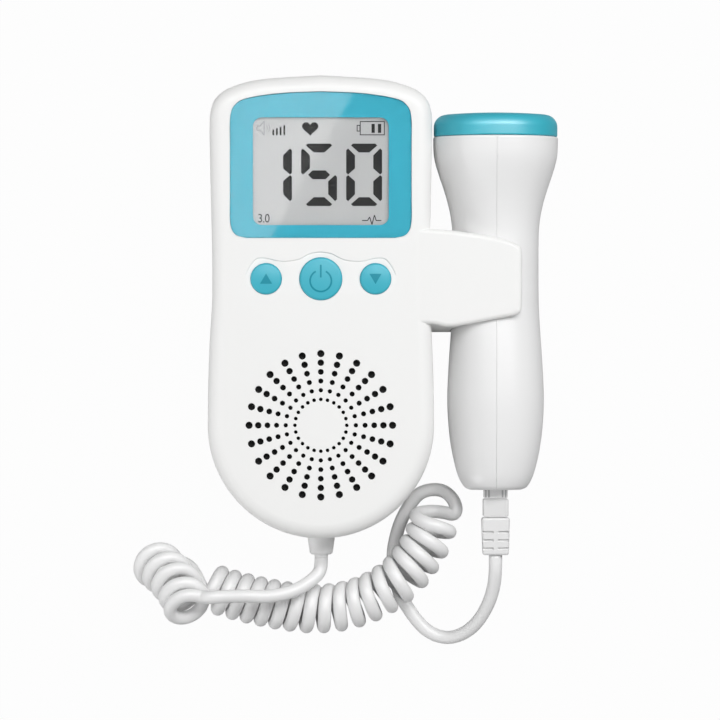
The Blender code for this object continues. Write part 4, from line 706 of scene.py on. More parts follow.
    @staticmethod
    def gather(name: str, pieces: Sequence[Piece]) -> Piece:
        """Joins several meshes into one object."""
        bpy.ops.object.select_all(action="DESELECT")
        for piece in pieces:
            piece.select_set(True)
        bpy.context.view_layer.objects.active = pieces[0]
        if len(pieces) > 1:
            bpy.ops.object.join()
        return Bench.named(bpy.context.active_object, name)

    @staticmethod
    def copied(piece: Piece, name: str, move: Matrix) -> Piece:
        """Copies a piece with its own mesh, moved or turned."""
        twin = piece.copy()
        twin.data = piece.data.copy()
        Bench.named(twin, name)
        twin.data.transform(move)
        bpy.context.collection.objects.link(twin)
        return twin

    @staticmethod
    def soften(piece: Piece, width: float) -> None:
        """Rounds every sharp edge a little."""
        Bench.apply(piece, "BEVEL", width=width, segments=2, limit_method="ANGLE",
                    angle_limit=math.radians(60.0), use_clamp_overlap=True, miter_outer="MITER_ARC")

    @staticmethod
    def shade(piece: Piece, angle: float) -> None:
        """Shades smooth up to an angle, with the large faces kept flat."""
        Bench.choose(piece)
        bpy.ops.object.shade_smooth_by_angle(angle=math.radians(angle))
        Bench.apply(piece, "WEIGHTED_NORMAL", keep_sharp=True, weight=60)


def place(piece: Piece, body: Body, finishes: Sequence[Finish],
          replaces: Sequence[str] = (), angle: float = 32.0) -> Piece:
    """Finishes a piece and sets it on its body.

    Args:
        piece: The piece, whose mesh is counted from the grille's middle.
        body: The body that it rides on.
        finishes: Its finishes in the order of its faces' numbers; none if it has them already.
        replaces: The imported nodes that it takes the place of.
        angle: Edges sharper than this many degrees stay sharp.

    Returns:
        The same piece, in the row frame.
    """
    Bench.shade(piece, angle)
    piece.data.transform(Matrix.Translation(ZERO))
    if finishes:
        dressed(piece, *finishes)
    if replaces:
        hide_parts(*replaces)
    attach(piece, body.value)
    LOG.info("%s rides on %s", piece.name, body.value)
    return piece


@dataclass(frozen=True)
class SoftBox:
    """One lamp: its place from the picture's middle and its size in metres, and its power in watts."""

    name: str
    at: tuple[float, float, float]
    wide: float
    tall: float
    power: float


@dataclass
class Studio:
    """Camera, floor, lamps and sky of a plain product picture taken from straight above."""

    height: float = 1.6
    scale_height: float = 0.026
    picture_wide: float = 210.4 * MM
    centre: Vector = field(default_factory=lambda: ZERO + flat(11.4, 19.0) * MM)
    sensor: float = 36.0
    floor_wide: float = 6.0
    floor_drop: float = 0.2 * MM
    floor_colour: str = "A8A8A8"
    floor_rough: float = 0.9
    floor_glow: float = 0.972
    card_height: float = 1.3
    card_glow: float = 3.0
    # The window's corners and the ends of its gleam's edge, in millimetres from the grille's middle
    window_side: float = 40.0
    gleam_low: tuple = (-15.4, 53.0)
    gleam_high: tuple = (10.6, 99.0)
    cap_card_at: tuple = (0.2, 0.74)
    cap_card_wide: float = 2.6
    cap_card_deep: float = 0.6
    cap_glow: float = 9.0
    sky_low: float = 0.08
    sky_high: float = 0.54
    # A wide box high at the top right, and two low ones that graze the left side and the foot
    boxes: tuple = (
        SoftBox("key_box", (0.62, 0.68, 1.3), 1.4, 0.6, 18.0),
        SoftBox("side_box", (-1.2, 0.0, 0.04), 0.12, 0.9, 4.0),
        SoftBox("foot_box", (-0.85, -0.85, 0.26), 0.9, 0.3, 4.5),
    )

    def build(self) -> None:
        """Adds everything that isn't part of the object."""
        self.camera()
        self.floor()
        for box in self.boxes:
            self.lamp(box)
        self.cards()
        self.sky()

    def camera(self) -> None:
        """Adds the camera that looks straight down."""
        data = bpy.data.cameras.new("camera")
        data.sensor_width = self.sensor
        data.lens = self.sensor * (self.height - self.scale_height) / self.picture_wide
        view = bpy.data.objects.new("camera", data)
        view.location = self.centre + UP * self.height
        bpy.context.scene.collection.objects.link(view)
        bpy.context.scene.camera = view

    def floor(self) -> None:
        """Adds the pale floor, which shows white to the camera and keeps a part of the shadow."""
        bpy.ops.object.select_all(action="DESELECT")
        bpy.ops.mesh.primitive_plane_add(size=self.floor_wide, location=(0.0, 0.0, -self.floor_drop))
        floor = bpy.context.active_object
        floor.name = "studio_floor"
        made, tree = new_material("pale_floor")
        shader = tree.nodes["Principled BSDF"]
        shader.inputs["Base Color"].default_value = linear(self.floor_colour)
        shader.inputs["Roughness"].default_value = self.floor_rough
        shader.inputs["Specular IOR Level"].default_value = 0.0
        path = add_node(tree, "ShaderNodeLightPath")
        glow = add_node(tree, "ShaderNodeEmission", Strength=1.0)
        share = add_node(tree, "ShaderNodeMath", {0: path.outputs["Is Camera Ray"]}, operation="MULTIPLY")
        share.inputs[1].default_value = self.floor_glow
        mix = add_node(tree, "ShaderNodeMixShader", {0: share.outputs[0], 1: shader.outputs["BSDF"],
                                                     2: glow.outputs["Emission"]})
        tree.links.new(mix.outputs["Shader"], tree.nodes["Material Output"].inputs["Surface"])
        floor.data.materials.append(made)

    def lamp(self, box: SoftBox) -> None:
        """Adds one soft box that faces the middle of the picture."""
        data = bpy.data.lights.new(box.name, "AREA")
        data.shape = "RECTANGLE"
        data.size = box.wide
        data.size_y = box.tall
        data.energy = box.power
        lamp = bpy.data.objects.new(box.name, data)
        at = self.centre + Vector(box.at)
        back = (at - self.centre).normalized()
        up = (ALONG - back * ALONG.dot(back)).normalized()
        turn = Matrix((up.cross(back), up, back)).transposed().to_4x4()
        lamp.matrix_world = Matrix.Translation(at) @ turn
        bpy.context.scene.collection.objects.link(lamp)

    def above(self, corners: Pairs) -> list[Vector]:
        """Gives the places at the cards' height that stretches of the window mirror to the camera."""
        low = box_of("display_lens")[1].z
        share = 1.0 + self.card_height / (self.height - low)
        middle = self.centre - ZERO
        below = flat(middle.x, middle.y)
        spots = [middle + (flat(x, y) * MM - below) * share for x, y in corners]
        return [Vector((spot.x, spot.y, low + self.card_height)) + ZERO for spot in spots]

    def card(self, name: str, outline: Sequence[Vector], glow: float, through: bool = True) -> None:
        """Hangs one flat card that only shiny surfaces see, also through the window if told so."""
        piece = Bench.ring(name, outline)
        made, tree = new_material(name)
        light = add_node(tree, "ShaderNodeEmission", Strength=glow)
        tree.links.new(light.outputs["Emission"], tree.nodes["Material Output"].inputs["Surface"])
        piece.data.materials.append(made)
        piece.visible_camera = False
        piece.visible_diffuse = False
        piece.visible_transmission = through
        piece.visible_shadow = False

    def cards(self) -> None:
        """Hangs two cards whose shared edge is the slanting gleam in the window, and the cap's card."""
        side, low, high = self.window_side, self.gleam_low, self.gleam_high
        bright = [(-side, high[1]), high, low, (-side, low[1])]
        dark = [high, (side, high[1]), (side, low[1]), low]
        self.card("bright_card", self.above(bright), self.card_glow)
        self.card("dark_card", self.above(dark), 0.0)
        middle = self.centre + Vector((*self.cap_card_at, self.card_height))
        corners = [middle + ACROSS * (x * self.cap_card_wide / 2) + ALONG * (y * self.cap_card_deep / 2)
                   for x, y in ((-1, 1), (1, 1), (1, -1), (-1, -1))]
        self.card("cap_card", corners, self.cap_glow, False)

    def sky(self) -> None:
        """Sets the light from above, dimmer near the horizon; camera, glass and metal see it as white."""
        scene = bpy.context.scene
        world = bpy.data.worlds.new("studio_sky")
        scene.world = world
        world.use_nodes = True
        tree = world.node_tree
        dim = tree.nodes["Background"]
        dim.inputs["Color"].default_value = (1.0, 1.0, 1.0, 1.0)
        coords = add_node(tree, "ShaderNodeTexCoord")
        height = add_node(tree, "ShaderNodeSeparateXYZ", {0: coords.outputs["Generated"]})
        rise = add_node(tree, "ShaderNodeMapRange", {0: height.outputs["Z"]},
                        To_Min=self.sky_low, To_Max=self.sky_high)
        tree.links.new(rise.outputs[0], dim.inputs["Strength"])
        white = add_node(tree, "ShaderNodeBackground", Strength=1.0)
        path = add_node(tree, "ShaderNodeLightPath")
        first = add_node(tree, "ShaderNodeMath", {0: path.outputs["Is Camera Ray"],
                                                  1: path.outputs["Is Glossy Ray"]},
                         operation="MAXIMUM")
        seen = add_node(tree, "ShaderNodeMath", {0: first.outputs[0],
                                                 1: path.outputs["Is Transmission Ray"]},
                        operation="MAXIMUM")
        mix = add_node(tree, "ShaderNodeMixShader", {0: seen.outputs[0], 1: dim.outputs[0],
                                                     2: white.outputs[0]})
        tree.links.new(mix.outputs[0], tree.nodes["World Output"].inputs["Surface"])
        scene.view_settings.view_transform = "Standard"


@dataclass
class CurlyCord:
    """The cord from the unit to the plug: lead, raised coil, back coil and lead, as one tube."""

    thick: float = 3.9 * MM
    curl_radius: float = 5.6 * MM
    curl_gap: float = 0.08 * MM
    raised_gap: float = 0.05 * MM
    raised_lean: float = 0.45
    raised_turns: float = 4.85
    per_turn: int = 24
    eighth: int = 3
    tightest_share: float = 0.35
    axis_steps: int = 60
    axis_samples: int = 801
    bend_window: int = 61
    back_first: float = 235.0
    back_turns: float = 17.6
    raised_first: float = 225.0
    raised_skip: float = 0.1
    link_pull_back: float = 20.0 * MM
    link_pull_raised: float = 36.0 * MM
    straight_end: float = 3.8 * MM
    lead_steps: int = 12
    spacing: float = 0.8 * MM
    smoothings: int = 6
    joint_angle: float = -76.5
    back_coil: tuple = (
        (33.5, -26.0, 12.6), (32.7, -30.3, 12.1), (30.8, -35.0, 12.1), (27.9, -39.7, 12.1),
        (24.1, -44.4, 12.1), (19.1, -48.4, 11.5), (12.9, -51.7, 10.2), (5.5, -53.9, 8.8),
        (-2.8, -54.5, 8.0), (-10.7, -53.7, 7.95), (-18.7, -52.2, 7.95), (-26.4, -50.3, 7.95),
        (-32.3, -48.4, 7.95), (-37.0, -46.6, 7.95),
    )
    raised_coil: tuple = (
        (-49.7, -40.6, 8.4), (-45.8, -43.5, 13.8), (-41.4, -48.3, 18.8), (-38.1, -55.1, 23.6),
    )
    unit_lead: tuple = (
        (-32.0, -50.3, 27.6), (-27.4, -50.1, 26.0), (-21.7, -50.1, 23.6), (-15.9, -50.3, 22.0),
        (-10.1, -49.4, 20.2), (-5.8, -47.7, 18.8), (-2.6, -45.5, 17.4),
    )
    loop_lead: tuple = (
        (39.6, -27.0, 9.4), (39.8, -24.1, 8.6), (38.3, -21.4, 7.2), (35.9, -19.6, 5.6), (32.3, -19.4, 4.0),
        (28.9, -20.6, 2.8), (26.0, -24.2, 2.2), (23.2, -29.6, 2.1), (21.5, -36.0, 2.1), (21.2, -40.0, 2.1),
    )
    joint: tuple = (22.2, -46.9, 2.1)
    probe_lead: tuple = (
        (24.8, -53.2, 2.1), (27.8, -57.7, 2.1), (31.6, -61.5, 2.3), (36.4, -63.3, 3.2), (41.0, -62.4, 5.8),
        (45.3, -59.2, 9.2), (48.7, -53.9, 12.8), (50.7, -47.8, 16.0),
    )
    # Only the lead crosses this slanting band
    stretch: tuple = ((30.0, -53.3, 2.1), (42.0, -58.7, 2.1))

    @staticmethod
    def metres(points: Sequence[Sequence[float]]) -> list[Vector]:
        """Turns a table in millimetres into metres."""
        return [Vector(point) * MM for point in points]

    def curls(self, route: Sequence[Sequence[float]], first: float, turns: float, skip: float,
              gap: float, lean: float = 0.0) -> list[Vector]:
        """Winds left-handed curls about a bent axis, wider apart where it bends so that they stay clear.

        Args:
            route: The axis, as points in millimetres.
            first: Angle of the first curl's start, in degrees.
            turns: Turns at most.
            skip: Turns left out at the start.
            gap: Room between two curls on the inner side.
            lean: How far the curls lean back, so that they face up more than their axis does.

        Returns:
            The points of the cord's middle.
        """
        line = spaced(smooth_line(self.metres(route), self.axis_steps), self.axis_samples)
        count = len(line)
        step = (line[1] - line[0]).length
        around = [(max(index - 1, 0), min(index + 1, count - 1)) for index in range(count)]
        heads = [(line[after] - line[before]).normalized() for before, after in around]
        bends = [(heads[after] - heads[before]).length / (2 * step) for before, after in around]
        reach = self.bend_window // 2
        turn = 0.0
        side = heads[0].cross(UP).normalized()
        sides = []
        turned_by = []
        faces = [(head + UP * lean).normalized() for head in heads]
        for index in range(count):
            near = [bends[min(count - 1, max(0, index + shift))] for shift in range(-reach, reach + 1)]
            room = max(self.tightest_share, 1.0 - self.curl_radius * sum(near) / len(near))
            turned_by.append(turn)
            turn += step * room * heads[index].dot(faces[index]) / (self.thick + gap)
            side = (side - faces[index] * side.dot(faces[index])).normalized()
            sides.append(side)
        last = min(turns, turned_by[-1])
        total = int((last - skip) * self.per_turn)
        result = []
        at = 0
        for number in range(total + 1):
            goal = skip + (last - skip) * number / total
            while at < count - 2 and turned_by[at + 1] < goal:
                at += 1
            share = min(1.0, max(0.0, (goal - turned_by[at]) / (turned_by[at + 1] - turned_by[at])))
            middle = line[at].lerp(line[at + 1], share)
            angle = math.radians(first) + math.tau * goal
            up = sides[at].cross(faces[at])
            spoke = sides[at] * math.cos(angle) + up * math.sin(angle)
            result.append(middle + self.curl_radius * spoke)
        return result

    @staticmethod
    def bridge(start: Vector, start_pull: Vector, end: Vector, end_pull: Vector,
               count: int) -> list[Vector]:
        """Gives the points between two ends of a curve that leaves each of them straight on."""
        result = []
        for index in range(1, count):
            t = index / count
            result.append(start * (2 * t ** 3 - 3 * t ** 2 + 1) + end * (3 * t ** 2 - 2 * t ** 3)
                          + start_pull * (t ** 3 - 2 * t ** 2 + t) + end_pull * (t ** 3 - t ** 2))
        return result

    def lead(self, route: list[Vector], end: Vector, head: Vector) -> list[Vector]:
        """Gives a lead to a straight end; the first stretch of its route only gives the direction."""
        before_end = end - head * self.straight_end
        line = smooth_line([*route, before_end, end], self.lead_steps)
        return line[self.lead_steps:-self.lead_steps] + [before_end, end]

    def path(self, relief_end: Vector, boot_end: Vector) -> list[Vector]:
        """Gives the middle of the whole cord, from the unit to the plug, evenly spaced."""
        back = self.curls(self.back_coil, self.back_first, self.back_turns, 0.0, self.curl_gap)
        raised = self.curls(self.raised_coil, self.raised_first, self.raised_turns, self.raised_skip,
                            self.raised_gap, self.raised_lean)
        back_head = (back[-1] - back[-1 - self.eighth]).normalized()
        raised_head = (raised[self.eighth] - raised[0]).normalized()
        link = self.bridge(back[-1], back_head * self.link_pull_back, raised[0],
                           raised_head * self.link_pull_raised, 4 * self.per_turn)
        unit = self.lead([raised[-1 - self.eighth], raised[-1], *self.metres(self.unit_lead)],
                         relief_end, ALONG)
        angle = math.radians(self.joint_angle)
        head = flat(math.cos(angle), math.sin(angle))
        joint = Vector(self.joint) * MM
        loop = self.lead([back[self.eighth], back[0], *self.metres(self.loop_lead)], joint, head)
        on = joint + head * self.straight_end
        probe = self.lead([joint, on, *self.metres(self.probe_lead)], boot_end, ALONG)
        whole = [point for part in (unit, raised, link, back) for point in reversed(part)] + loop + probe
        apart = [point for point, after in zip(whole, whole[1:]) if (after - point).length > HAIR]
        line = spaced(apart + whole[-1:], int(length_of(whole) / self.spacing))
        for _pass in range(self.smoothings):
            middle = [(before + point * 2 + after) / 4
                      for before, point, after in zip(line, line[1:], line[2:])]
            line = [line[0], *middle, line[-1]]
        return line

    def build(self) -> None:
        low, high = box_of("strain_relief")
        relief_end = Vector((0.0, low.y - HAIR, (low.z + high.z) / 2))
        low, high = box_of("plug_boot")
        boot_end = Vector(((low.x + high.x) / 2, low.y - HAIR, (low.z + high.z) / 2))
        line = self.path(relief_end, boot_end)
        piece = Bench.tube("curly_cord", line, self.thick / 2, 6)
        bpy.ops.object.shade_smooth()
        piece.data.transform(Matrix.Translation(ZERO))
        dressed(piece, CORD_VINYL)
        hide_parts("cord_curly", "cord_lead_probe")
        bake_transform(piece)
        LOG.info("curly_cord is %.0f mm long in %d rings", length_of(line) / MM, len(line))


@dataclass
class MainUnit:
    """The unit's two housing halves, with their display well, holes, clip arms and battery bay."""

    radius: float = 33.0 * MM
    front_edge: float = 4.2 * MM
    rear_edge: float = 4.0 * MM
    wall: float = 1.8 * MM
    rear_wall: float = 3.4 * MM
    room_steps: int = 4
    # Outlines from the top middle down the right side, as shares of their width and height
    side_shares: tuple = (
        (0.0, 1.0), (0.53, 0.988), (0.797, 0.965), (0.921, 0.937), (0.971, 0.901), (0.983, 0.843),
        (0.972, 0.647), (0.961, 0.50), (0.961, 0.358), (0.981, 0.245), (0.995, 0.12), (1.0, 0.0),
    )
    lens_shares: tuple = (
        (0.0, 1.0), (0.45, 0.988), (0.816, 0.953), (0.945, 0.908), (0.997, 0.826), (1.0, 0.6),
        (1.0, 0.3), (0.997, 0.1), (0.94, 0.023), (0.82, 0.0),
    )
    # The clip arm's outline from its root, as shares of the way to the probe's axis and of its height
    clip_shares: tuple = (
        (0.0, 0.0), (0.292, -0.007), (0.498, -0.032), (1.0, 0.05), (1.171, 0.079), (1.253, 0.104),
        (1.28, 0.15), (1.286, 0.3), (1.286, 0.621), (1.284, 0.757), (1.249, 0.811), (1.163, 0.85),
        (1.0, 0.896), (0.603, 0.954), (0.272, 0.982), (0.0, 1.0),
    )
    # The lower edge of the hollow round the keys, as shares of the unit's radius and of its own height
    hollow_shares: tuple = (
        (0.0, 1.0), (0.094, 0.938), (0.194, 0.738), (0.297, 0.663), (0.379, 0.675), (0.491, 0.775),
        (0.585, 0.7), (0.667, 0.125), (0.648, -0.4), (0.539, -0.625),
    )
    hollow_deep: float = 0.45 * MM
    hollow_tall: float = 8.0 * MM
    hollow_bank: float = 0.35 * MM
    well_wall: float = 1.3 * MM
    well_base: float = 1.1 * MM
    well_play: float = 0.06 * MM
    window_corner: float = 1.8 * MM
    clip_low: float = 29.6 * MM
    clip_tall: float = 28.0 * MM
    clip_root_in: float = 7.5 * MM
    clip_slab: float = 5.4 * MM
    clip_front_slab: float = 2.25 * MM
    clip_rear_slab: float = 3.2 * MM
    clip_round: float = 1.3 * MM
    clip_gap: float = 0.4 * MM
    channel_shares: tuple = (0.15, 0.86)
    web_in_unit: float = 2.1 * MM
    web_to_probe: float = 10.7 * MM
    web_draft: float = 2.4 * MM
    web_fall: float = 1.5 * MM
    grille_spokes: int = 24
    grille_rings: int = 6
    grille_first: float = 7.54 * MM
    grille_step: float = 2.665 * MM
    hole_first: float = 0.53 * MM
    hole_last: float = 1.04 * MM
    hole_flare: float = 0.12 * MM
    key_play: float = 0.06 * MM
    relief_neck: float = 3.5 * MM
    jack_hole: float = 3.0 * MM
    jack_deep: float = 4.0 * MM
    bay_play: float = 2.35 * MM
    bay_wall: float = 1.2 * MM
    post_radius: float = 2.75 * MM
    well_flare: float = 0.3 * MM
    head_hole: float = 2.4 * MM
    shaft_hole: float = 1.4 * MM
    door_play: float = 0.15 * MM
    # The probe's outline from its foot, as shares of its length and of its head's radius
    probe_shares: tuple = (
        (0.0, 0.415), (0.008, 0.503), (0.033, 0.587), (0.068, 0.650), (0.113, 0.705), (0.169, 0.749),
        (0.242, 0.774), (0.310, 0.765), (0.387, 0.740), (0.469, 0.708), (0.551, 0.690), (0.706, 0.690),
        (0.763, 0.710), (0.808, 0.760), (0.848, 0.825), (0.885, 0.896), (0.923, 0.962), (0.954, 0.992),
        (1.0, 1.0),
    )

    def __post_init__(self) -> None:
        """Reads the places that the frame already knows."""
        front_low, front_high = box_of("front_housing")
        self.seam = front_low.z - GAP / 2
        self.depth = front_high.z
        self.top = front_high.y
        lens_low, lens_high = box_of("display_lens")
        self.lens_half = lens_high.x
        self.lens_low = lens_low.y
        self.lens_high = lens_high.y
        self.well_floor = box_of("lcd_panel")[1].z
        shell_low, shell_high = box_of("probe_shell_right")
        self.probe_x = shell_low.x - GAP / 2
        self.probe_z = (shell_low.z + shell_high.z) / 2
        self.probe_foot = shell_low.y
        self.probe_long = shell_high.y - shell_low.y
        self.head = (shell_high.z - shell_low.z) / 2
        self.handle = self.head * self.probe_shares[10][1]

    def outline(self, grow: float = 0.0) -> list[Vector]:
        """Gives the unit's outline seen from the front, clockwise from its top middle."""
        points = [flat(self.radius * x, self.top * y) for x, y in self.side_shares]
        half = smooth_line(points, 7)
        half += [flat(x, y) for x, y in arc((0.0, 0.0), self.radius, 0.0, -90.0, 36)[1:]]
        return grown(mirrored(half), grow)

    def lens_outline(self, grow: float = 0.0) -> list[Vector]:
        """Gives the display lens's outline, clockwise."""
        tall = self.lens_high - self.lens_low
        points = [flat(self.lens_half * x, self.lens_low + tall * y) for x, y in self.lens_shares]
        half = smooth_line(points, 6) + [flat(0.0, self.lens_low)]
        return grown(mirrored(half), grow)

    def probe_profile(self, grow: float, steps: int = 4) -> Pairs:
        """Gives the probe's radius along Y, made larger by grow."""
        points = [flat(self.probe_foot + self.probe_long * along, self.head * share)
                  for along, share in self.probe_shares]
        return [(point.x, point.y + grow) for point in smooth_line(points, steps)]

    def rounded_solid(self, name: str, start: float, end: float, edge: float, inside: float = 0.0,
                      steps: int = 12) -> Piece:
        """Makes a solid on the unit's outline, with a rounded edge at its far end.

        Args:
            name: The piece's name.
            start: Height of the plain end.
            end: Height of the end with the rounded edge.
            edge: Radius of the edge.
            inside: How far it stays inside the outline.
            steps: Steps round the edge.

        Returns:
            The closed solid.
        """
        sign = 1.0 if end > start else -1.0
        rings = [[Vector((point.x, point.y, start)) for point in self.outline(-inside)]]
        for step in range(steps + 1):
            angle = math.pi / 2 * step / steps
            z = end - sign * edge * (1.0 - math.sin(angle))
            ring = self.outline(-inside - edge * (1.0 - math.cos(angle)))
            rings.append([Vector((point.x, point.y, z)) for point in ring])
        return Bench.loft(name, rings)

    def shell(self, name: str, upward: bool) -> Piece:
        """Makes one hollow half with a rounded outer edge, open at the seam."""
        sign = 1.0 if upward else -1.0
        face, ceiling = (self.depth, self.depth - self.wall) if upward else (0.0, self.rear_wall)
        edge = self.front_edge if upward else self.rear_edge
        start = self.seam + sign * GAP / 2
        piece = self.rounded_solid(name, start, face, edge)
        Bench.combine(piece, self.rounded_solid("room", start - sign * OVERLAP, ceiling, edge - self.wall,
                                                self.wall, self.room_steps))
        return piece

    def arm(self, face: float, slab: float, upward: bool) -> Piece:
        """Makes one clip arm: a slab whose outer edge is rounded.

        Args:
            face: Height of its outer face.
            slab: Its thickness.
            upward: Whether the outer face is its upper one.

        Returns:
            The closed solid.
        """
        root = self.radius - self.clip_root_in
        reach = self.probe_x - root
        points = [flat(root + reach * x, self.clip_low + self.clip_tall * y)
                  for x, y in reversed(self.clip_shares)]
        sign = 1.0 if upward else -1.0
        piece = Bench.slab("arm", smooth_line(points, 4), face - sign * slab, face)
        Bench.bevel(piece, self.clip_round, 6, Bench.edges_at(piece, face))
        return piece

    def web(self, end: float, seam: float) -> Piece:
        """Makes the wall between the unit and the probe, wider towards the seam."""
        near = self.clip_low
        far = self.clip_low + self.clip_tall - OVERLAP
        left = self.radius - self.web_in_unit
        right = self.probe_x - self.web_to_probe
        piece = Bench.between("web", (left, near - self.web_draft, end), (right, far, seam))
        for vertex in piece.data.vertices:
            if abs(vertex.co.z - end) < HAIR and vertex.co.y < far - HAIR:
                vertex.co.y += self.web_draft
            elif vertex.co.y > far - HAIR and vertex.co.x > left + HAIR:
                vertex.co.y -= self.web_fall
        return piece

    def clear_channel(self, piece: Piece) -> None:
        """Cuts the probe's space, and the way by which it slides out along +X."""
        first, last = self.channel_shares
        span = [pair for pair in self.probe_profile(self.clip_gap)
                if first < (pair[0] - self.probe_foot) / self.probe_long < last]
        centre = Vector((self.probe_x, 0.0, self.probe_z))
        Bench.combine(piece, Bench.turned("channel", span, centre, ALONG, 128))
        above = [Vector((self.probe_x, along, self.probe_z + radius)) for along, radius in span]
        below = [Vector((self.probe_x, along, self.probe_z - radius)) for along, radius in reversed(span)]
        way = Bench.ring("way", above + below)
        Bench.combine(piece, Bench.pulled(way, (self.radius, 0.0, 0.0)))

    def grille_cutter(self) -> Piece:
        """Makes the cutters of all speaker holes, each flared where it meets the face."""
        pieces = []
        low = self.depth - self.wall - OVERLAP
        flare = self.hole_flare
        for ring in range(self.grille_rings):
            share = ring / (self.grille_rings - 1)
            radius = self.hole_first + (self.hole_last - self.hole_first) * share
            profile = [(low, radius), (self.depth - flare, radius), (self.depth, radius + flare * 0.8),
                       (self.depth + OVERLAP, radius + flare)]
            centre = flat(0.0, self.grille_first + self.grille_step * ring)
            first = Bench.turned(f"hole_{ring}", profile, centre, UP, 24)
            pieces.append(first)
            for spoke in range(1, self.grille_spokes):
                turn = Matrix.Rotation(math.tau * spoke / self.grille_spokes, 4, "Z")
                pieces.append(Bench.copied(first, f"hole_{ring}_{spoke}", turn))
        return Bench.gather("grille_cutter", pieces)

    def hollow_cutter(self, key_y: float) -> Piece:
        """Makes the cutter of the sloping hollow round the keys, which fades out towards the grille."""
        points = [flat(self.radius * x, key_y + self.hollow_tall * y) for x, y in self.hollow_shares]
        outline = mirrored(smooth_line(points, 8))
        top_y = key_y + self.hollow_tall * self.hollow_shares[0][1]
        fade_y = key_y + self.hollow_tall * self.hollow_shares[-1][1]
        floor = []
        for point in grown(outline, -self.hollow_bank):
            share = max(0.0, (point.y - fade_y) / (top_y - fade_y))
            floor.append(Vector((point.x, point.y, self.depth + HAIR - self.hollow_deep * share)))
        rim = [Vector((point.x, point.y, self.depth + 2 * HAIR)) for point in outline]
        above = [Vector((point.x, point.y, self.depth + OVERLAP)) for point in outline]
        return Bench.loft("hollow", [floor, rim, above])

    def front(self) -> None:
        """Builds the front half."""
        piece = self.shell("front_cover", True)
        ceiling = self.depth - self.wall
        Bench.combine(piece, Bench.slab("well", self.lens_outline(self.well_wall),
                                        self.well_floor - self.well_base, ceiling + OVERLAP), "UNION")
        arm_top = self.probe_z + self.handle + self.clip_gap + self.clip_front_slab
        Bench.combine(piece, self.arm(arm_top, self.clip_slab, True), "UNION")
        Bench.combine(piece, self.web(arm_top - self.clip_round - OVERLAP, self.seam + GAP / 2), "UNION")
        self.clear_channel(piece)
        Bench.combine(piece, Bench.slab("well_cut", self.lens_outline(self.well_play), self.well_floor,
                                        self.depth + OVERLAP))
        keys = {"volume_up_button": KeyPad.small, "power_button": KeyPad.large,
                "volume_down_button": KeyPad.small}
        key_y = sum(sum(corner.y for corner in box_of(name)) / 2 for name in keys) / len(keys)
        Bench.combine(piece, self.hollow_cutter(key_y))
        window = rounded_box(KeyPad.window_half + GAP, self.lens_low + KeyPad.window_low - GAP,
                             self.lens_low + KeyPad.window_high + GAP, self.window_corner)
        Bench.combine(piece, Bench.slab("window", window, box_of("lcd_panel")[0].z,
                                        self.well_floor + OVERLAP))
        for name, radius in keys.items():
            hole = radius + self.key_play
            profile = [(ceiling - OVERLAP, hole), (self.depth + OVERLAP, hole)]
            Bench.combine(piece, Bench.turned("key_hole", profile, middle_of(name), UP, 72))
        Bench.combine(piece, self.grille_cutter())
        self.side_holes(piece)
        place(piece, Body.UNIT, [SHELL_ABS], ["front_housing"])

    def side_holes(self, piece: Piece) -> None:
        """Cuts the holes of the cord and, on the front half, of the headphone socket."""
        outside = -self.radius - OVERLAP
        profile = [(outside, self.relief_neck), (-self.radius + self.wall + OVERLAP, self.relief_neck)]
        Bench.combine(piece, Bench.turned("neck", profile, Vector((0.0, 0.0, self.seam)), ALONG, 40))
        if piece.name == "front_cover":
            low, high = box_of("headphone_socket")
            centre = Vector((0.0, (low.y + high.y) / 2, (low.z + high.z) / 2))
            profile = [(outside, self.jack_hole), (low.x + self.jack_deep, self.jack_hole)]
            Bench.combine(piece, Bench.turned("jack_hole", profile, centre, ACROSS, 48))

    def rear(self) -> None:
        """Builds the rear half with its battery bay."""
        piece = self.shell("rear_cover", False)
        contact_high = box_of("battery_contact_upper")[1]
        half = contact_high.x + self.bay_play
        low_y = box_of("battery_contact_lower")[0].y - GAP
        high_y = contact_high.y + GAP
        roof = box_of("battery_left")[1].z + GAP
        wall = self.bay_wall
        Bench.combine(piece, Bench.block("bay", (-half - wall, low_y - wall, self.rear_wall - OVERLAP),
                                         (half + wall, high_y + wall, roof + wall)), "UNION")
        names = [f"screw_{name}" for name in ("upper_right", "upper_left", "lower_right", "lower_left")]
        top = self.seam - GAP / 2
        for name in names:
            post = [(self.rear_wall - OVERLAP, self.post_radius), (top, self.post_radius)]
            Bench.combine(piece, Bench.turned("post", post, middle_of(name), UP, 32), "UNION")
        arm_low = self.probe_z - self.handle - self.clip_gap - self.clip_rear_slab
        Bench.combine(piece, self.arm(arm_low, self.clip_slab + self.clip_rear_slab, False), "UNION")
        Bench.combine(piece, self.web(arm_low + self.clip_round + OVERLAP, top), "UNION")
        self.clear_channel(piece)
        Bench.combine(piece, Bench.block("bay_cut", (-half, low_y, -OVERLAP), (half, high_y, roof)))
        for name in names:
            shoulder = box_of(name)[0].z + Screws.housing_head + GAP
            well = [(-OVERLAP, self.post_radius), (self.well_flare, self.head_hole),
                    (shoulder, self.head_hole), (shoulder, self.shaft_hole),
                    (self.seam + OVERLAP, self.shaft_hole)]
            Bench.combine(piece, Bench.turned("screw_well", well, middle_of(name), UP, 32))
        door_high = box_of("battery_cover")[1]
        wide = door_high.x + self.door_play
        Bench.combine(piece, Bench.block("recess", (-wide, -self.radius - OVERLAP, -OVERLAP),
                                         (wide, door_high.y + self.door_play, door_high.z + GAP)))
        self.side_holes(piece)
        place(piece, Body.UNIT, [SHELL_ABS], ["rear_housing"])

    def build(self) -> None:
        """Builds both halves."""
        self.front()
        self.rear()


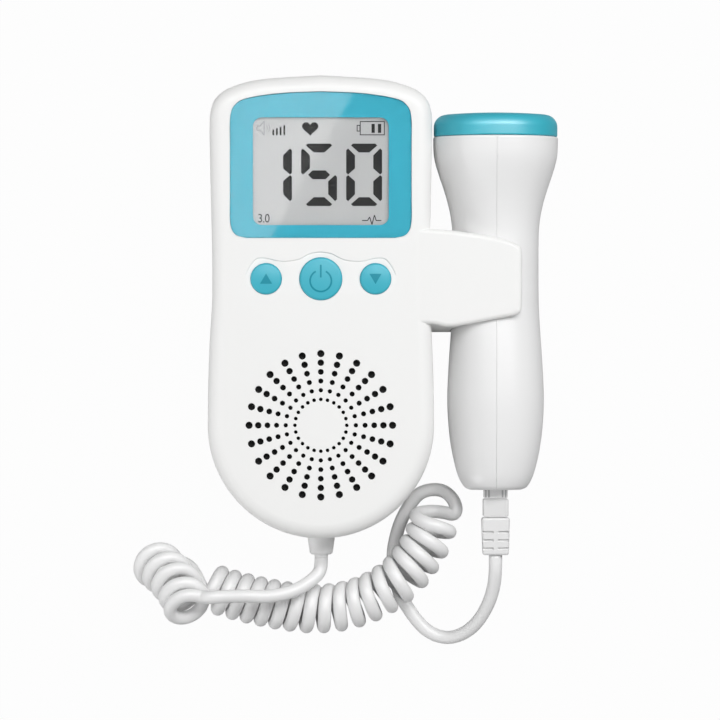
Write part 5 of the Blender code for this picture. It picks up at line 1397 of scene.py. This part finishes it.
@dataclass
class BatteryDoor:
    """The battery cover: a strip of the rear face that runs out over its round end, with a grip."""

    unit: MainUnit
    groove_count: int = 6
    groove_top: float = 17.0 * MM
    groove_pitch: float = 2.0 * MM
    groove_deep: float = 0.5 * MM
    groove_wide: float = 0.9 * MM
    groove_half: float = 8.0 * MM
    arrow_tip: float = 26.0 * MM
    arrow_base: float = 21.5 * MM
    arrow_half: float = 3.2 * MM

    def build(self) -> None:
        """Builds the cover. The grooves and the arrow are counted from its upper edge."""
        low, high = box_of("battery_cover")
        unit = self.unit
        piece = unit.rounded_solid("battery_door", unit.rear_edge + OVERLAP, 0.0, unit.rear_edge)
        strip = Bench.block("strip", (low.x, low.y - OVERLAP, -OVERLAP), (high.x, high.y, high.z))
        Bench.combine(piece, strip, "INTERSECT")
        grooves = []
        for groove in range(self.groove_count):
            y = high.y - self.groove_top + self.groove_pitch * groove
            half = self.groove_half * (1.0 - 0.1 * abs(groove - (self.groove_count - 1) / 2))
            grooves.append(Bench.block(f"groove_{groove}", (-half, y, -OVERLAP),
                                       (half, y + self.groove_wide, self.groove_deep), 0.2 * MM, 2))
        Bench.combine(piece, Bench.gather("grooves", grooves))
        base = high.y - self.arrow_base
        tip = high.y - self.arrow_tip
        arrow = [flat(0.0, tip), flat(self.arrow_half, base), flat(-self.arrow_half, base)]
        Bench.combine(piece, Bench.slab("arrow", arrow, -OVERLAP, self.groove_deep * 0.7))
        place(piece, Body.DOOR, [SHELL_ABS], ["battery_cover"])


class KeyIcon(Enum):
    """The printed sign on each key."""

    UP = "up"
    DOWN = "down"
    POWER = "power"


@dataclass
class KeyPad:
    """The three round keys with their printed signs."""

    small: float = 4.56 * MM
    large: float = 6.24 * MM
    rise: float = 0.95 * MM
    round: float = 0.8 * MM
    dome: float = 0.35 * MM
    dome_shares: tuple = (0.8, 0.6, 0.4, 0.2, 0.02)
    stem: float = 2.0 * MM
    flange_thick: float = 0.9 * MM
    window_half: float = 19.75 * MM
    window_low: float = 3.75 * MM
    window_high: float = 35.05 * MM
    ink: float = 0.03 * MM
    power_ring: tuple = (2.85 * MM, 3.35 * MM)
    power_ends: tuple = (62.0, -242.0)
    power_drop: float = 0.6 * MM
    # Half its width, its foot, its top and its corners' radius
    power_bar: tuple = (0.25 * MM, 0.35 * MM, 4.1 * MM, 0.2 * MM)
    arrow_tip: float = 1.55 * MM
    arrow_base: float = 1.45 * MM
    arrow_half: float = 1.75 * MM

    def key(self, node: str, radius: float, body: Body, icon: KeyIcon) -> None:
        """Builds one key and its sign."""
        low, high = box_of(node)
        centre = middle_of(node)
        top = high.z
        flange = (high.x - low.x) / 2
        ceiling = top - self.rise - MainUnit.wall
        foot = ceiling - GAP - self.flange_thick
        profile = [(low.z, PINHOLE), (low.z, self.stem), (foot, self.stem), (foot, flange),
                   (ceiling - GAP, flange), (ceiling - GAP, radius)]
        edge = top - self.dome
        profile += arc((edge - self.round, radius - self.round), self.round, 90.0, 0.0, 8)
        profile += domed(edge, self.dome, radius - self.round, self.dome_shares)
        piece = Bench.turned(node.replace("button", "key_top"), profile, centre, UP, 96)
        place(piece, body, [KEY_ABS], [node], 40.0)
        self.sign(node, radius, centre, top, body, icon)

    def crown(self, radius: float, reach: float, top: float) -> float:
        """Gives the height of the key's crowned face at a distance from its middle."""
        share = min(1.0, reach / (radius - self.round))
        return top - self.dome * share ** 2

    def power_mark(self) -> list[Piece]:
        """Makes an open ring with a bar in its gap."""
        inner, outer = self.power_ring
        start, end = self.power_ends
        pairs = arc((0.0, 0.0), outer, start, end, 64) + arc((0.0, 0.0), inner, end, start, 64)
        ring = [flat(x, y - self.power_drop) for x, y in pairs]
        return [Bench.slab("ring", ring, 0.0, self.ink),
                Bench.slab("bar", rounded_box(*self.power_bar, 4), 0.0, self.ink)]

    def triangle(self, turn: float) -> Piece:
        """Makes a triangle that points up, or down if turn is -1, fine enough to bend."""
        base = -self.arrow_base * turn
        corners = [flat(0.0, self.arrow_tip * turn), flat(self.arrow_half * turn, base),
                   flat(-self.arrow_half * turn, base)]
        fine = []
        for start, end in zip(corners, corners[1:] + corners[:1]):
            fine += [start.lerp(end, step / 8) for step in range(8)]
        return Bench.slab("triangle", fine, 0.0, self.ink)

    def sign(self, node: str, radius: float, centre: Vector, top: float, body: Body,
             icon: KeyIcon) -> None:
        """Builds the printed sign: a thin film that follows the crowned face."""
        if icon is KeyIcon.POWER:
            pieces = self.power_mark()
        else:
            pieces = [self.triangle(1.0 if icon is KeyIcon.UP else -1.0)]
        piece = Bench.gather(node.replace("button", "key_sign"), pieces)
        Bench.apply(piece, "TRIANGULATE")
        for vertex in piece.data.vertices:
            reach = Vector((vertex.co.x, vertex.co.y)).length
            vertex.co.z += self.crown(radius, reach, top) + HAIR / 2
            vertex.co.x += centre.x
            vertex.co.y += centre.y
        place(piece, body, [KEY_INK])

    def build(self) -> None:
        """Builds all three keys."""
        self.key("volume_up_button", self.small, Body.VOLUME_UP, KeyIcon.UP)
        self.key("power_button", self.large, Body.POWER, KeyIcon.POWER)
        self.key("volume_down_button", self.small, Body.VOLUME_DOWN, KeyIcon.DOWN)


@dataclass
class Display:
    """The window, its printed border, the display and the figures that it shows."""

    unit: MainUnit
    play: float = 0.02 * MM
    window_edge: float = 0.18 * MM
    opening_corner: float = 2.6 * MM
    digit_tall: float = 18.16 * MM
    digit_wide: float = 10.45 * MM
    digit_foot: float = 9.31 * MM
    digits_right: float = 17.83 * MM
    # The segments of each digit from right to left, by their usual letters
    digits: tuple = ("abcdef", "acdfg", "bc")
    pitch: float = 13.12 * MM
    stroke: float = 2.57 * MM
    nick: float = 0.55 * MM
    split: float = 0.3 * MM
    ink: float = 0.04 * MM
    small_number: str = "3.0"
    small_number_at: tuple = (-18.4, 4.55)
    small_number_tall: float = 2.6 * MM
    # Capital height of the letters as a share of their size, then their spacing and width
    letter_share: float = 0.73
    letter_space: float = 0.95
    letter_wide: float = 0.86
    # The signs are in millimetres, counted from the middle of the window's lower edge
    row: float = 29.9
    # Left side, height over the row, width and height of each bar: four of the level, two of the battery
    bars: tuple = ((-14.1, 0.0, 0.5, 1.65), (-13.03, 0.0, 0.5, 2.07), (-11.96, 0.0, 0.5, 2.49),
                   (-10.89, 0.0, 0.5, 2.91), (14.75, 0.7, 0.95, 2.6), (16.62, 0.7, 0.95, 2.6))
    # The battery's case and its nub, from corner to corner
    boxes: tuple = ((11.35, 0.0, 18.6, 4.1), (10.45, 1.1, 11.5, 3.0))
    # The heart's middle, and its scales across and up
    heart: tuple = (-3.1, 2.1, 0.149, 0.142)
    pulse: tuple = ((12.0, 5.1), (13.6, 5.1), (14.2, 6.1), (14.9, 3.9), (15.6, 6.7), (16.1, 5.1),
                    (17.6, 5.1))
    horn: tuple = ((-18.6, 31.4), (-17.7, 31.4), (-16.5, 30.0), (-16.5, 34.0), (-17.7, 32.6),
                   (-18.6, 32.6), (-18.6, 31.4))
    waves_at: tuple = (-16.6, 32.0)
    wave_radii: tuple = (1.0, 1.7)

    def window(self) -> None:
        """Builds the clear window and the printed border under it."""
        unit = self.unit
        low, high = box_of("display_lens")
        piece = Bench.slab("display_window", unit.lens_outline(-self.play), low.z, high.z)
        Bench.bevel(piece, self.window_edge, 3, Bench.edges_at(piece, high.z))
        place(piece, Body.UNIT, [WINDOW_ACRYLIC], ["display_lens"])
        mask_low, mask_high = box_of("display_mask")
        mask = Bench.slab("window_border", unit.lens_outline(-self.play), mask_low.z, low.z - HAIR)
        opening = rounded_box(KeyPad.window_half, unit.lens_low + KeyPad.window_low,
                              unit.lens_low + KeyPad.window_high, self.opening_corner)
        Bench.combine(mask, Bench.slab("opening", opening, mask_low.z - OVERLAP, mask_high.z + OVERLAP))
        place(mask, Body.UNIT, [WINDOW_PRINT], ["display_mask"])

    def bar(self, x: float, y: float, wide: float, tall: float) -> Piece:
        """Makes a plain rectangle of ink from its lower left corner."""
        outline = [flat(x, y), flat(x, y + tall), flat(x + wide, y + tall), flat(x + wide, y)]
        return Bench.slab("bar", outline, 0.0, self.ink)

    def segment(self, letter: str, x: float, y: float) -> Piece:
        """Makes one of the seven segments of a digit whose lower left corner is given."""
        wide, thick, nick, split = self.digit_wide, self.stroke, self.nick, self.split
        half = self.digit_tall / 2
        top = 2 * half
        if letter in "ad":
            end = nick * 2 + split
            quarter = [(end, top - nick), (end + nick, top), (end + thick - nick / 2, top - thick)]
            points = [*quarter[:2], *((wide - px, py) for px, py in reversed(quarter[:2])),
                      (wide - quarter[2][0], quarter[2][1]), quarter[2]]
        elif letter == "g":
            end = thick - nick
            left, right = end + thick / 2, wide - end - thick / 2
            points = [(end, half), (left, half + thick / 2), (right, half + thick / 2),
                      (wide - end, half), (right, half - thick / 2), (left, half - thick / 2)]
        else:
            high = top - nick * 2 - split
            low = half + split / 4
            points = [(0.0, high - nick), (nick, high), (thick, high - thick + nick),
                      (thick, half + thick - nick - split / 2), (nick, low), (0.0, low + nick)]
        if letter in "bc":
            points = [(wide - px, py) for px, py in points]
        if letter in "cde":
            points = [(px, top - py) for px, py in points]
        outline = [flat(x + px, y + py) for px, py in points]
        return Bench.slab(f"segment_{letter}", outline, 0.0, self.ink)

    def figures(self) -> None:
        """Builds the three large digits."""
        foot = self.unit.lens_low + self.digit_foot
        pieces = []
        for number, letters in enumerate(self.digits):
            x = self.digits_right - self.digit_wide - self.pitch * number
            pieces += [self.segment(letter, x, foot) for letter in letters]
        self.print_on(Bench.gather("display_digits", pieces), DISPLAY_INK)

    def print_on(self, piece: Piece, finish: Finish) -> None:
        """Lays a flat sign on the display's face."""
        piece.data.transform(Matrix.Translation(Vector((0.0, 0.0, self.unit.well_floor + HAIR / 2))))
        Bench.face_out(piece)
        place(piece, Body.UNIT, [finish])

    def frame_of(self, low_x: float, low_y: float, high_x: float, high_y: float,
                 line: float) -> list[Piece]:
        """Makes the four sides of an outlined box."""
        wide, tall = high_x - low_x, high_y - low_y - 2 * line
        return [self.bar(low_x, low_y, wide, line), self.bar(low_x, high_y - line, wide, line),
                self.bar(low_x, low_y + line, line, tall),
                self.bar(high_x - line, low_y + line, line, tall)]

    def stroke_line(self, points: Pairs, line: float) -> list[Piece]:
        """Makes a line of even width through points in millimetres."""
        places = [flat(x * MM, self.unit.lens_low + y * MM) for x, y in points]
        pieces = []
        for start, end in zip(places, places[1:]):
            side = flat(start.y - end.y, end.x - start.x).normalized() * (line / 2)
            outline = [start - side, start + side, end + side, end - side]
            pieces.append(Bench.slab("stroke", outline, 0.0, self.ink))
        return pieces

    def heart_sign(self, row: float) -> Piece:
        """Makes the heart, drawn by the usual sum of cosines."""
        middle, rise, wide, tall = self.heart
        outline = []
        for step in range(48):
            t = math.tau * step / 48
            x = 16 * math.sin(t) ** 3
            y = 13 * math.cos(t) - 5 * math.cos(2 * t) - 2 * math.cos(3 * t) - math.cos(4 * t)
            outline.append(flat(middle * MM + x * wide * MM, row + rise * MM + y * tall * MM))
        return Bench.slab("heart", outline, 0.0, self.ink)

    def signs(self) -> None:
        """Builds the small signs: sound, level, heart, battery and a pulse line."""
        row = self.unit.lens_low + self.row * MM
        solid = [self.bar(x * MM, row + y * MM, wide * MM, tall * MM) for x, y, wide, tall in self.bars]
        solid.append(self.heart_sign(row))
        self.print_on(Bench.gather("display_marks", solid), DISPLAY_INK)
        lines = []
        for low_x, low_y, high_x, high_y in self.boxes:
            lines += self.frame_of(low_x * MM, row + low_y * MM, high_x * MM, row + high_y * MM, 0.24 * MM)
        lines += self.stroke_line(self.pulse, 0.26 * MM)
        self.print_on(Bench.gather("display_lines", lines), DISPLAY_INK)
        faint = self.stroke_line(self.horn, 0.16 * MM)
        for radius in self.wave_radii:
            faint += self.stroke_line(arc(self.waves_at, radius, -42.0, 42.0, 6), 0.14 * MM)
        self.print_on(Bench.gather("display_sound_mark", faint), DISPLAY_LINE)

    def number(self) -> None:
        """Builds the small plain number."""
        bpy.ops.object.select_all(action="DESELECT")
        bpy.ops.object.text_add()
        text = bpy.context.active_object.data
        text.body = self.small_number
        text.size = self.small_number_tall / self.letter_share
        text.space_character = self.letter_space
        text.extrude = self.ink / 2
        bpy.ops.object.convert(target="MESH")
        piece = Bench.named(bpy.context.active_object, "display_small_number")
        x, y = (value * MM for value in self.small_number_at)
        move = Matrix.Translation(Vector((x, self.unit.lens_low + y, self.ink / 2)))
        piece.data.transform(move @ Matrix.Scale(self.letter_wide, 4, ACROSS))
        self.print_on(piece, DISPLAY_INK)

    def build(self) -> None:
        """Builds the display from the window down."""
        self.window()
        self.figures()
        self.signs()
        self.number()


@dataclass
class Probe:
    """The probe: two turned shell halves, and a crowned cap."""

    unit: MainUnit
    wall: float = 1.8 * MM
    seam: float = 0.02 * MM
    rim: float = 0.55 * MM
    foot_bore: float = 0.6 * MM
    cap_gap: float = 0.08 * MM
    cap_wall: float = 1.6 * MM
    cap_foot: float = 0.45 * MM
    cap_round: float = 3.6 * MM
    cap_crown: float = 0.6 * MM
    crown_shares: tuple = (0.85, 0.7, 0.5, 0.3, 0.1, 0.01)

    def shells(self) -> None:
        """Builds both shell halves."""
        unit = self.unit
        outer = unit.probe_profile(0.0, 6)
        end, reach = outer[-1]
        outer = outer[:-1] + arc((end - self.rim, reach - self.rim), self.rim, 90.0, 0.0, 5)
        foot = outer[0][0]
        floor = foot + self.wall
        inner = [(along, radius - self.wall) for along, radius in unit.probe_profile(0.0, 1)
                 if along > floor]
        inner[0] = (floor, inner[0][1])
        profile = [(foot, self.foot_bore)] + outer + list(reversed(inner)) + [(floor, self.foot_bore)]
        centre = Vector((unit.probe_x, 0.0, unit.probe_z))
        low, high = box_of("plug_tongue")
        for name, side in (("right", 1.0), ("left", -1.0)):
            piece = Bench.turned(f"probe_{name}_half", profile, centre, ALONG, 60, -math.pi * side, True)
            piece.data.transform(Matrix.Translation(ACROSS * (self.seam * side)))
            Bench.soften(piece, 0.12 * MM)
            Bench.combine(piece, Bench.block("opening", (low.x - GAP, foot - OVERLAP, low.z - GAP),
                                             (high.x + GAP, floor + OVERLAP, high.z + GAP)))
            place(piece, Body.PROBE, [PROBE_ABS], [f"probe_shell_{name}"], 40.0)

    def cap(self) -> None:
        """Builds the cap."""
        unit = self.unit
        low, high = box_of("probe_cap")
        base = box_of("probe_shell_left")[1].y + self.cap_gap
        radius = (high.x - low.x) / 2
        edge = high.y - self.cap_crown
        spigot = unit.head - self.wall - GAP
        hollow = spigot - self.cap_wall
        profile = [(edge - self.cap_wall, PINHOLE), (edge - self.cap_wall, hollow), (low.y, hollow),
                   (low.y, spigot), (base, spigot), (base, radius - self.cap_foot)]
        profile += arc((base + self.cap_foot, radius - self.cap_foot), self.cap_foot, 180.0, 90.0, 5)
        profile += arc((edge - self.cap_round, radius - self.cap_round), self.cap_round, 90.0, 0.0, 14)
        profile += domed(edge, self.cap_crown, radius - self.cap_round, self.crown_shares)
        centre = Vector((unit.probe_x, 0.0, unit.probe_z))
        piece = Bench.turned("probe_cap_cover", profile, centre, ALONG, 128)
        place(piece, Body.PROBE, [CAP_ABS], ["probe_cap"], 40.0)

    def build(self) -> None:
        """Builds shells and cap."""
        self.shells()
        self.cap()


@dataclass
class Plug:
    """The plug: clear tongue with its contacts, housing, and the slotted boot."""

    # Each ridge's distance from the tongue's side and its width, in millimetres
    ridges: tuple = ((0.35, 0.45), (1.25, 0.5))
    pin_count: int = 6
    pin_pitch: float = 0.95 * MM
    pin_half: float = 0.2 * MM
    panel_in: float = 0.75 * MM
    panel_deep: float = 0.18 * MM
    taper_long: float = 3.4 * MM
    taper: float = 0.93
    spine: float = 0.65 * MM
    slot_count: int = 3
    slot_first: float = 3.9 * MM
    slot_pitch: float = 2.42 * MM
    slot_wide: float = 0.75 * MM
    slot_floor: float = 2.35 * MM
    slot_rim: float = 0.35 * MM

    def tongue(self) -> None:
        """Builds the tongue, its ridges painted darker as shade, and the gold contacts at its tip."""
        low, high = box_of("plug_tongue")
        middle = (low.x + high.x) / 2
        piece = Bench.block("plug_clear_tongue", low, high, 0.25 * MM, 2)
        place(piece, Body.PLUG, [PLUG_CLEAR], ["plug_tongue"])
        sides = []
        for side in (-1.0, 1.0):
            for inset, wide in self.ridges:
                x = middle + side * ((high.x - low.x) / 2 - inset * MM)
                sides.append(Bench.between("side", (x, low.y + 0.1 * MM, high.z - HAIR),
                                           (x - side * wide * MM, high.y - 2.5 * MM, high.z + 0.06 * MM)))
        # The ridges' grey is painted shade: how the clear tongue darkens seen edge-on
        place(Bench.gather("plug_tongue_sides", sides), Body.PLUG, [PLUG_SHADE])
        pins = []
        for number in range(self.pin_count):
            x = middle + (number - (self.pin_count - 1) / 2) * self.pin_pitch
            pins.append(Bench.block("pin", (x - self.pin_half, high.y - 3.6 * MM, low.z - 0.05 * MM),
                                    (x + self.pin_half, high.y - 0.4 * MM, low.z + 0.2 * MM),
                                    0.05 * MM, 2))
        place(Bench.gather("plug_contacts", pins), Body.PLUG, [GOLD])

    def housing(self) -> None:
        """Builds the housing: a block with a sunk panel on its upper and its lower face."""
        low, high = box_of("plug_housing")
        piece = Bench.block("plug_body", low, high, 0.45 * MM, 3)
        for face, z in ((1.0, high.z), (-1.0, low.z)):
            panel = Bench.between("panel", (low.x + self.panel_in, low.y - OVERLAP, z),
                                  (high.x - self.panel_in, high.y - 0.4 * MM, z - face * self.panel_deep))
            panel.data.transform(Matrix.Translation(UP * (face * HAIR)))
            Bench.combine(piece, panel)
        place(piece, Body.PLUG, [PLUG_ABS], ["plug_housing"])

    def boot(self) -> None:
        """Builds the boot, narrower towards the cord, with rows of slots either side of a spine."""
        low, high = box_of("plug_boot")
        centre = (low + high) / 2
        piece = Bench.block("plug_boot_cover", low, high, 0.7 * MM, 4)
        value = (self.taper, 1.0, self.taper)
        Bench.edit(piece, lambda: bpy.ops.transform.resize(value=value, center_override=centre),
                   pick=lambda row: row.co.y < low.y + self.taper_long)
        slots = []
        for slot in range(self.slot_count):
            y = high.y - self.slot_first - self.slot_pitch * slot
            for side in (-1.0, 1.0):
                for face in (-1.0, 1.0):
                    x_in = centre.x + side * self.spine
                    x_out = centre.x + side * (high.x - centre.x - self.slot_rim)
                    z_in = centre.z + face * self.slot_floor
                    z_out = centre.z + face * (high.z - centre.z + OVERLAP)
                    slots.append(Bench.between("slot", (x_in, y - self.slot_wide, z_in), (x_out, y, z_out),
                                               0.12 * MM, 2))
        Bench.combine(piece, Bench.gather("slots", slots))
        Bench.soften(piece, 0.1 * MM)
        place(piece, Body.PLUG, [RELIEF_VINYL], ["plug_boot"])

    def build(self) -> None:
        """Builds the plug."""
        self.tongue()
        self.housing()
        self.boot()


@dataclass
class StrainRelief:
    """The tapered sleeve where the cord leaves the unit."""

    wide: float = 4.0 * MM
    end: float = 3.45 * MM
    lip: float = 1.98 * MM
    lip_long: float = 0.7 * MM
    foot_round: float = 1.1 * MM
    neck: float = 3.2 * MM
    flange: float = 4.8 * MM
    flange_thick: float = 1.2 * MM

    def build(self) -> None:
        """Builds the sleeve as one turned piece."""
        low, high = box_of("strain_relief")
        wall = -MainUnit.radius - GAP
        foot = low.y
        centre = Vector((0.0, 0.0, (low.z + high.z) / 2))
        shoulder = foot + self.lip_long
        inside = high.y - self.flange_thick
        profile = [(foot, PINHOLE), (foot, self.lip), (shoulder, self.lip)]
        profile += arc((shoulder + self.foot_round, self.end - self.foot_round), self.foot_round,
                       180.0, 90.0, 8)
        profile += [(wall, self.wide), (wall, self.neck), (inside, self.neck), (inside, self.flange),
                    (high.y, self.flange), (high.y, PINHOLE)]
        piece = Bench.turned("cord_sleeve", profile, centre, ALONG, 64)
        # The sleeve's vinyl is painted whiter than the cord, as light against the unit's shadow
        place(piece, Body.UNIT, [SLEEVE_VINYL_PAINTED_LIGHT], ["strain_relief"], 40.0)


@dataclass
class Screws:
    """Six pan-head screws with a cross slot and a threaded shaft."""

    names: tuple = ("screw_upper_right", "screw_upper_left", "screw_lower_right", "screw_lower_left",
                    "board_screw_right", "board_screw_left")
    large_from: float = 2.0 * MM
    housing_head: float = 1.5 * MM
    housing_shaft: float = 1.1 * MM
    board_head: float = 0.9 * MM
    board_shaft: float = 0.85 * MM
    head_round: float = 0.35 * MM
    head_flat: float = 0.3 * MM
    pitch: float = 0.8 * MM
    point: float = 1.0 * MM
    slot_half: float = 0.25 * MM
    slot_share: float = 0.65

    def screw(self, name: str) -> None:
        """Builds one screw in its node's box, its head down."""
        low, high = box_of(name)
        centre = middle_of(name)
        radius = (high.x - low.x) / 2
        large = radius > self.large_from
        tall = self.housing_head if large else self.board_head
        shaft = self.housing_shaft if large else self.board_shaft
        head = low.z + tall
        profile = [(low.z, PINHOLE), (low.z, radius - self.head_flat)]
        profile += arc((low.z + self.head_round, radius - self.head_round), self.head_round,
                       180.0, 90.0, 4)
        profile += [(head, radius), (head, shaft)]
        for thread in range(int((high.z - low.z - tall - self.point) / self.pitch)):
            start = head + self.pitch * thread
            profile += [(start + self.pitch * 0.35, shaft * 0.8), (start + self.pitch, shaft)]
        profile += [(high.z, PINHOLE)]
        piece = Bench.turned(f"{name}_steel", profile, centre, UP, 32)
        long = radius * self.slot_share
        for x, y in ((self.slot_half, long), (long, self.slot_half)):
            Bench.combine(piece, Bench.block("cross", (centre.x - x, centre.y - y, low.z - OVERLAP),
                                             (centre.x + x, centre.y + y, low.z + tall / 2)))
        place(piece, Body.UNIT, [ZINC_STEEL], [name], 30.0)

    def build(self) -> None:
        """Builds all the screws."""
        for name in self.names:
            self.screw(name)


@dataclass
class Cells:
    """Two cells and their springs."""

    radius: float = 7.1 * MM
    sleeve: float = 0.05 * MM
    nub: float = 2.6 * MM
    nub_tall: float = 1.0 * MM
    band_from: float = 0.72
    wire: float = 0.8 * MM
    turns: int = 4
    turn_steps: int = 20
    narrowing: float = 0.45

    def cell(self, name: str, flip: float) -> None:
        """Builds one cell: steel ends, a dark sleeve and a copper-coloured band at the nub end.

        Args:
            name: The cell's node.
            flip: 1 if the nub points to the display, -1 if it points to the foot.
        """
        low, high = box_of(name)
        centre = Vector(((low.x + high.x) / 2, 0.0, (low.z + high.z) / 2))
        long = high.y - low.y
        rim = self.radius - self.sleeve
        dish = 0.3 * MM
        profile = [(dish, PINHOLE), (dish, rim - 1.0 * MM), (0.0, rim - 0.8 * MM), (0.0, rim - dish),
                   (dish, rim)]
        body_end = long - self.nub_tall
        step = body_end - 0.1 * MM
        profile += [(long * 0.30, rim), (long * self.band_from, rim), (body_end - 0.5 * MM, rim),
                    (body_end, rim - 0.5 * MM), (step, self.nub + 0.6 * MM), (step, self.nub)]
        profile += [(long - dish, self.nub), (long, self.nub - dish), (long, PINHOLE)]
        start = low.y if flip > 0 else high.y
        profile = [(start + flip * along, reach) for along, reach in profile]
        piece = Bench.turned(f"{name}_cell", profile, centre, ALONG, 64)
        dressed(piece, CELL_SLEEVE, CELL_BAND, NICKEL)
        for face in piece.data.polygons:
            along = (face.center.y - start) * flip
            reach = Vector((face.center.x - centre.x, face.center.z - centre.z)).length
            if reach < rim - 0.6 * MM:
                face.material_index = 2
            elif along > long * self.band_from:
                face.material_index = 1
        place(piece, Body.UNIT, [], [name])

    def spring(self, name: str) -> None:
        """Builds one conical spring of round wire, its wide end towards the foot on the left side."""
        low, high = box_of(name)
        centre = (low + high) / 2
        reach = (high.x - low.x) / 2 - self.wire / 2
        count = self.turns * self.turn_steps
        points = []
        for index in range(count + 1):
            share = index / count
            rate = share if "left" in name else 1.0 - share
            radius = reach * (1.0 - self.narrowing * rate)
            angle = math.tau * self.turns * share
            y = low.y + self.wire / 2 + (high.y - low.y - self.wire) * share
            points.append(Vector((centre.x + radius * math.cos(angle), y,
                                  centre.z + radius * math.sin(angle))))
        piece = Bench.tube(f"{name}_wire", points, self.wire / 2 * 0.8, 3)
        place(piece, Body.UNIT, [NICKEL], [name], 60.0)

    def build(self) -> None:
        """Builds cells and springs."""
        self.cell("battery_left", 1.0)
        self.cell("battery_right", -1.0)
        self.spring("battery_spring_left")
        self.spring("battery_spring_right")


@dataclass
class HeadphoneSocket:
    """The plated ring in the mouth of the 3.5 mm socket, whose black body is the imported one."""

    bore: float = 1.75 * MM
    wall: float = 0.35 * MM
    lip: float = 0.42 * MM
    proud: float = 0.05 * MM
    deep: float = 0.25 * MM

    def build(self) -> None:
        """Builds the ring."""
        low, high = box_of("headphone_socket")
        centre = Vector((low.x, (low.y + high.y) / 2, (low.z + high.z) / 2))
        profile = [(-self.proud, self.bore), (-self.proud, self.bore + self.wall),
                   (HAIR, self.bore + self.lip), (self.deep, self.bore + self.lip), (self.deep, self.bore)]
        piece = Bench.turned("socket_ring", profile, centre, ACROSS, 48, closed=True)
        place(piece, Body.UNIT, [NICKEL])


@dataclass
class PackedPieces:
    """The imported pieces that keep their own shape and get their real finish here."""

    finishes: dict = field(default_factory=lambda: {
        "speaker_cloth": GRILLE_CLOTH, "speaker_basket": ZINC_STEEL, "speaker_cone": CONE_PAPER,
        "speaker_magnet": FERRITE, "lcd_panel": DISPLAY_FILM, "lcd_frame": INNER_WHITE,
        "zebra_connector": STRIP_RUBBER, "main_board": BOARD_MASK, "signal_chip": EPOXY_BLACK,
        "headphone_socket": PIT_BLACK, "power_switch": ZINC_STEEL, "volume_up_switch": ZINC_STEEL,
        "volume_down_switch": ZINC_STEEL, "power_plunger": PIT_BLACK, "volume_up_plunger": PIT_BLACK,
        "volume_down_plunger": PIT_BLACK, "battery_contact_lower": NICKEL, "battery_contact_upper": NICKEL,
        "transmit_crystal": CRYSTAL_SILVER, "receive_crystal": CRYSTAL_SILVER,
        "crystal_backing": BACKING_RUBBER, "probe_board": BOARD_MASK, "probe_chip": EPOXY_BLACK,
        "probe_socket": PIT_BLACK,
    })

    def build(self) -> None:
        """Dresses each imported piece."""
        for name, finish in self.finishes.items():
            dressed(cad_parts[name], finish)
            LOG.info("%s keeps its packed shape", name)


def main() -> None:
    """Builds the studio and the whole object, and reports each piece."""
    logging.basicConfig(level=logging.INFO, format="%(message)s")
    Studio().build()
    StrainRelief().build()
    Plug().build()
    CurlyCord().build()
    unit = MainUnit()
    unit.build()
    PackedPieces().build()
    BatteryDoor(unit).build()
    KeyPad().build()
    Display(unit).build()
    Probe(unit).build()
    Screws().build()
    Cells().build()
    HeadphoneSocket().build()


if __name__ == "__main__":
    main()
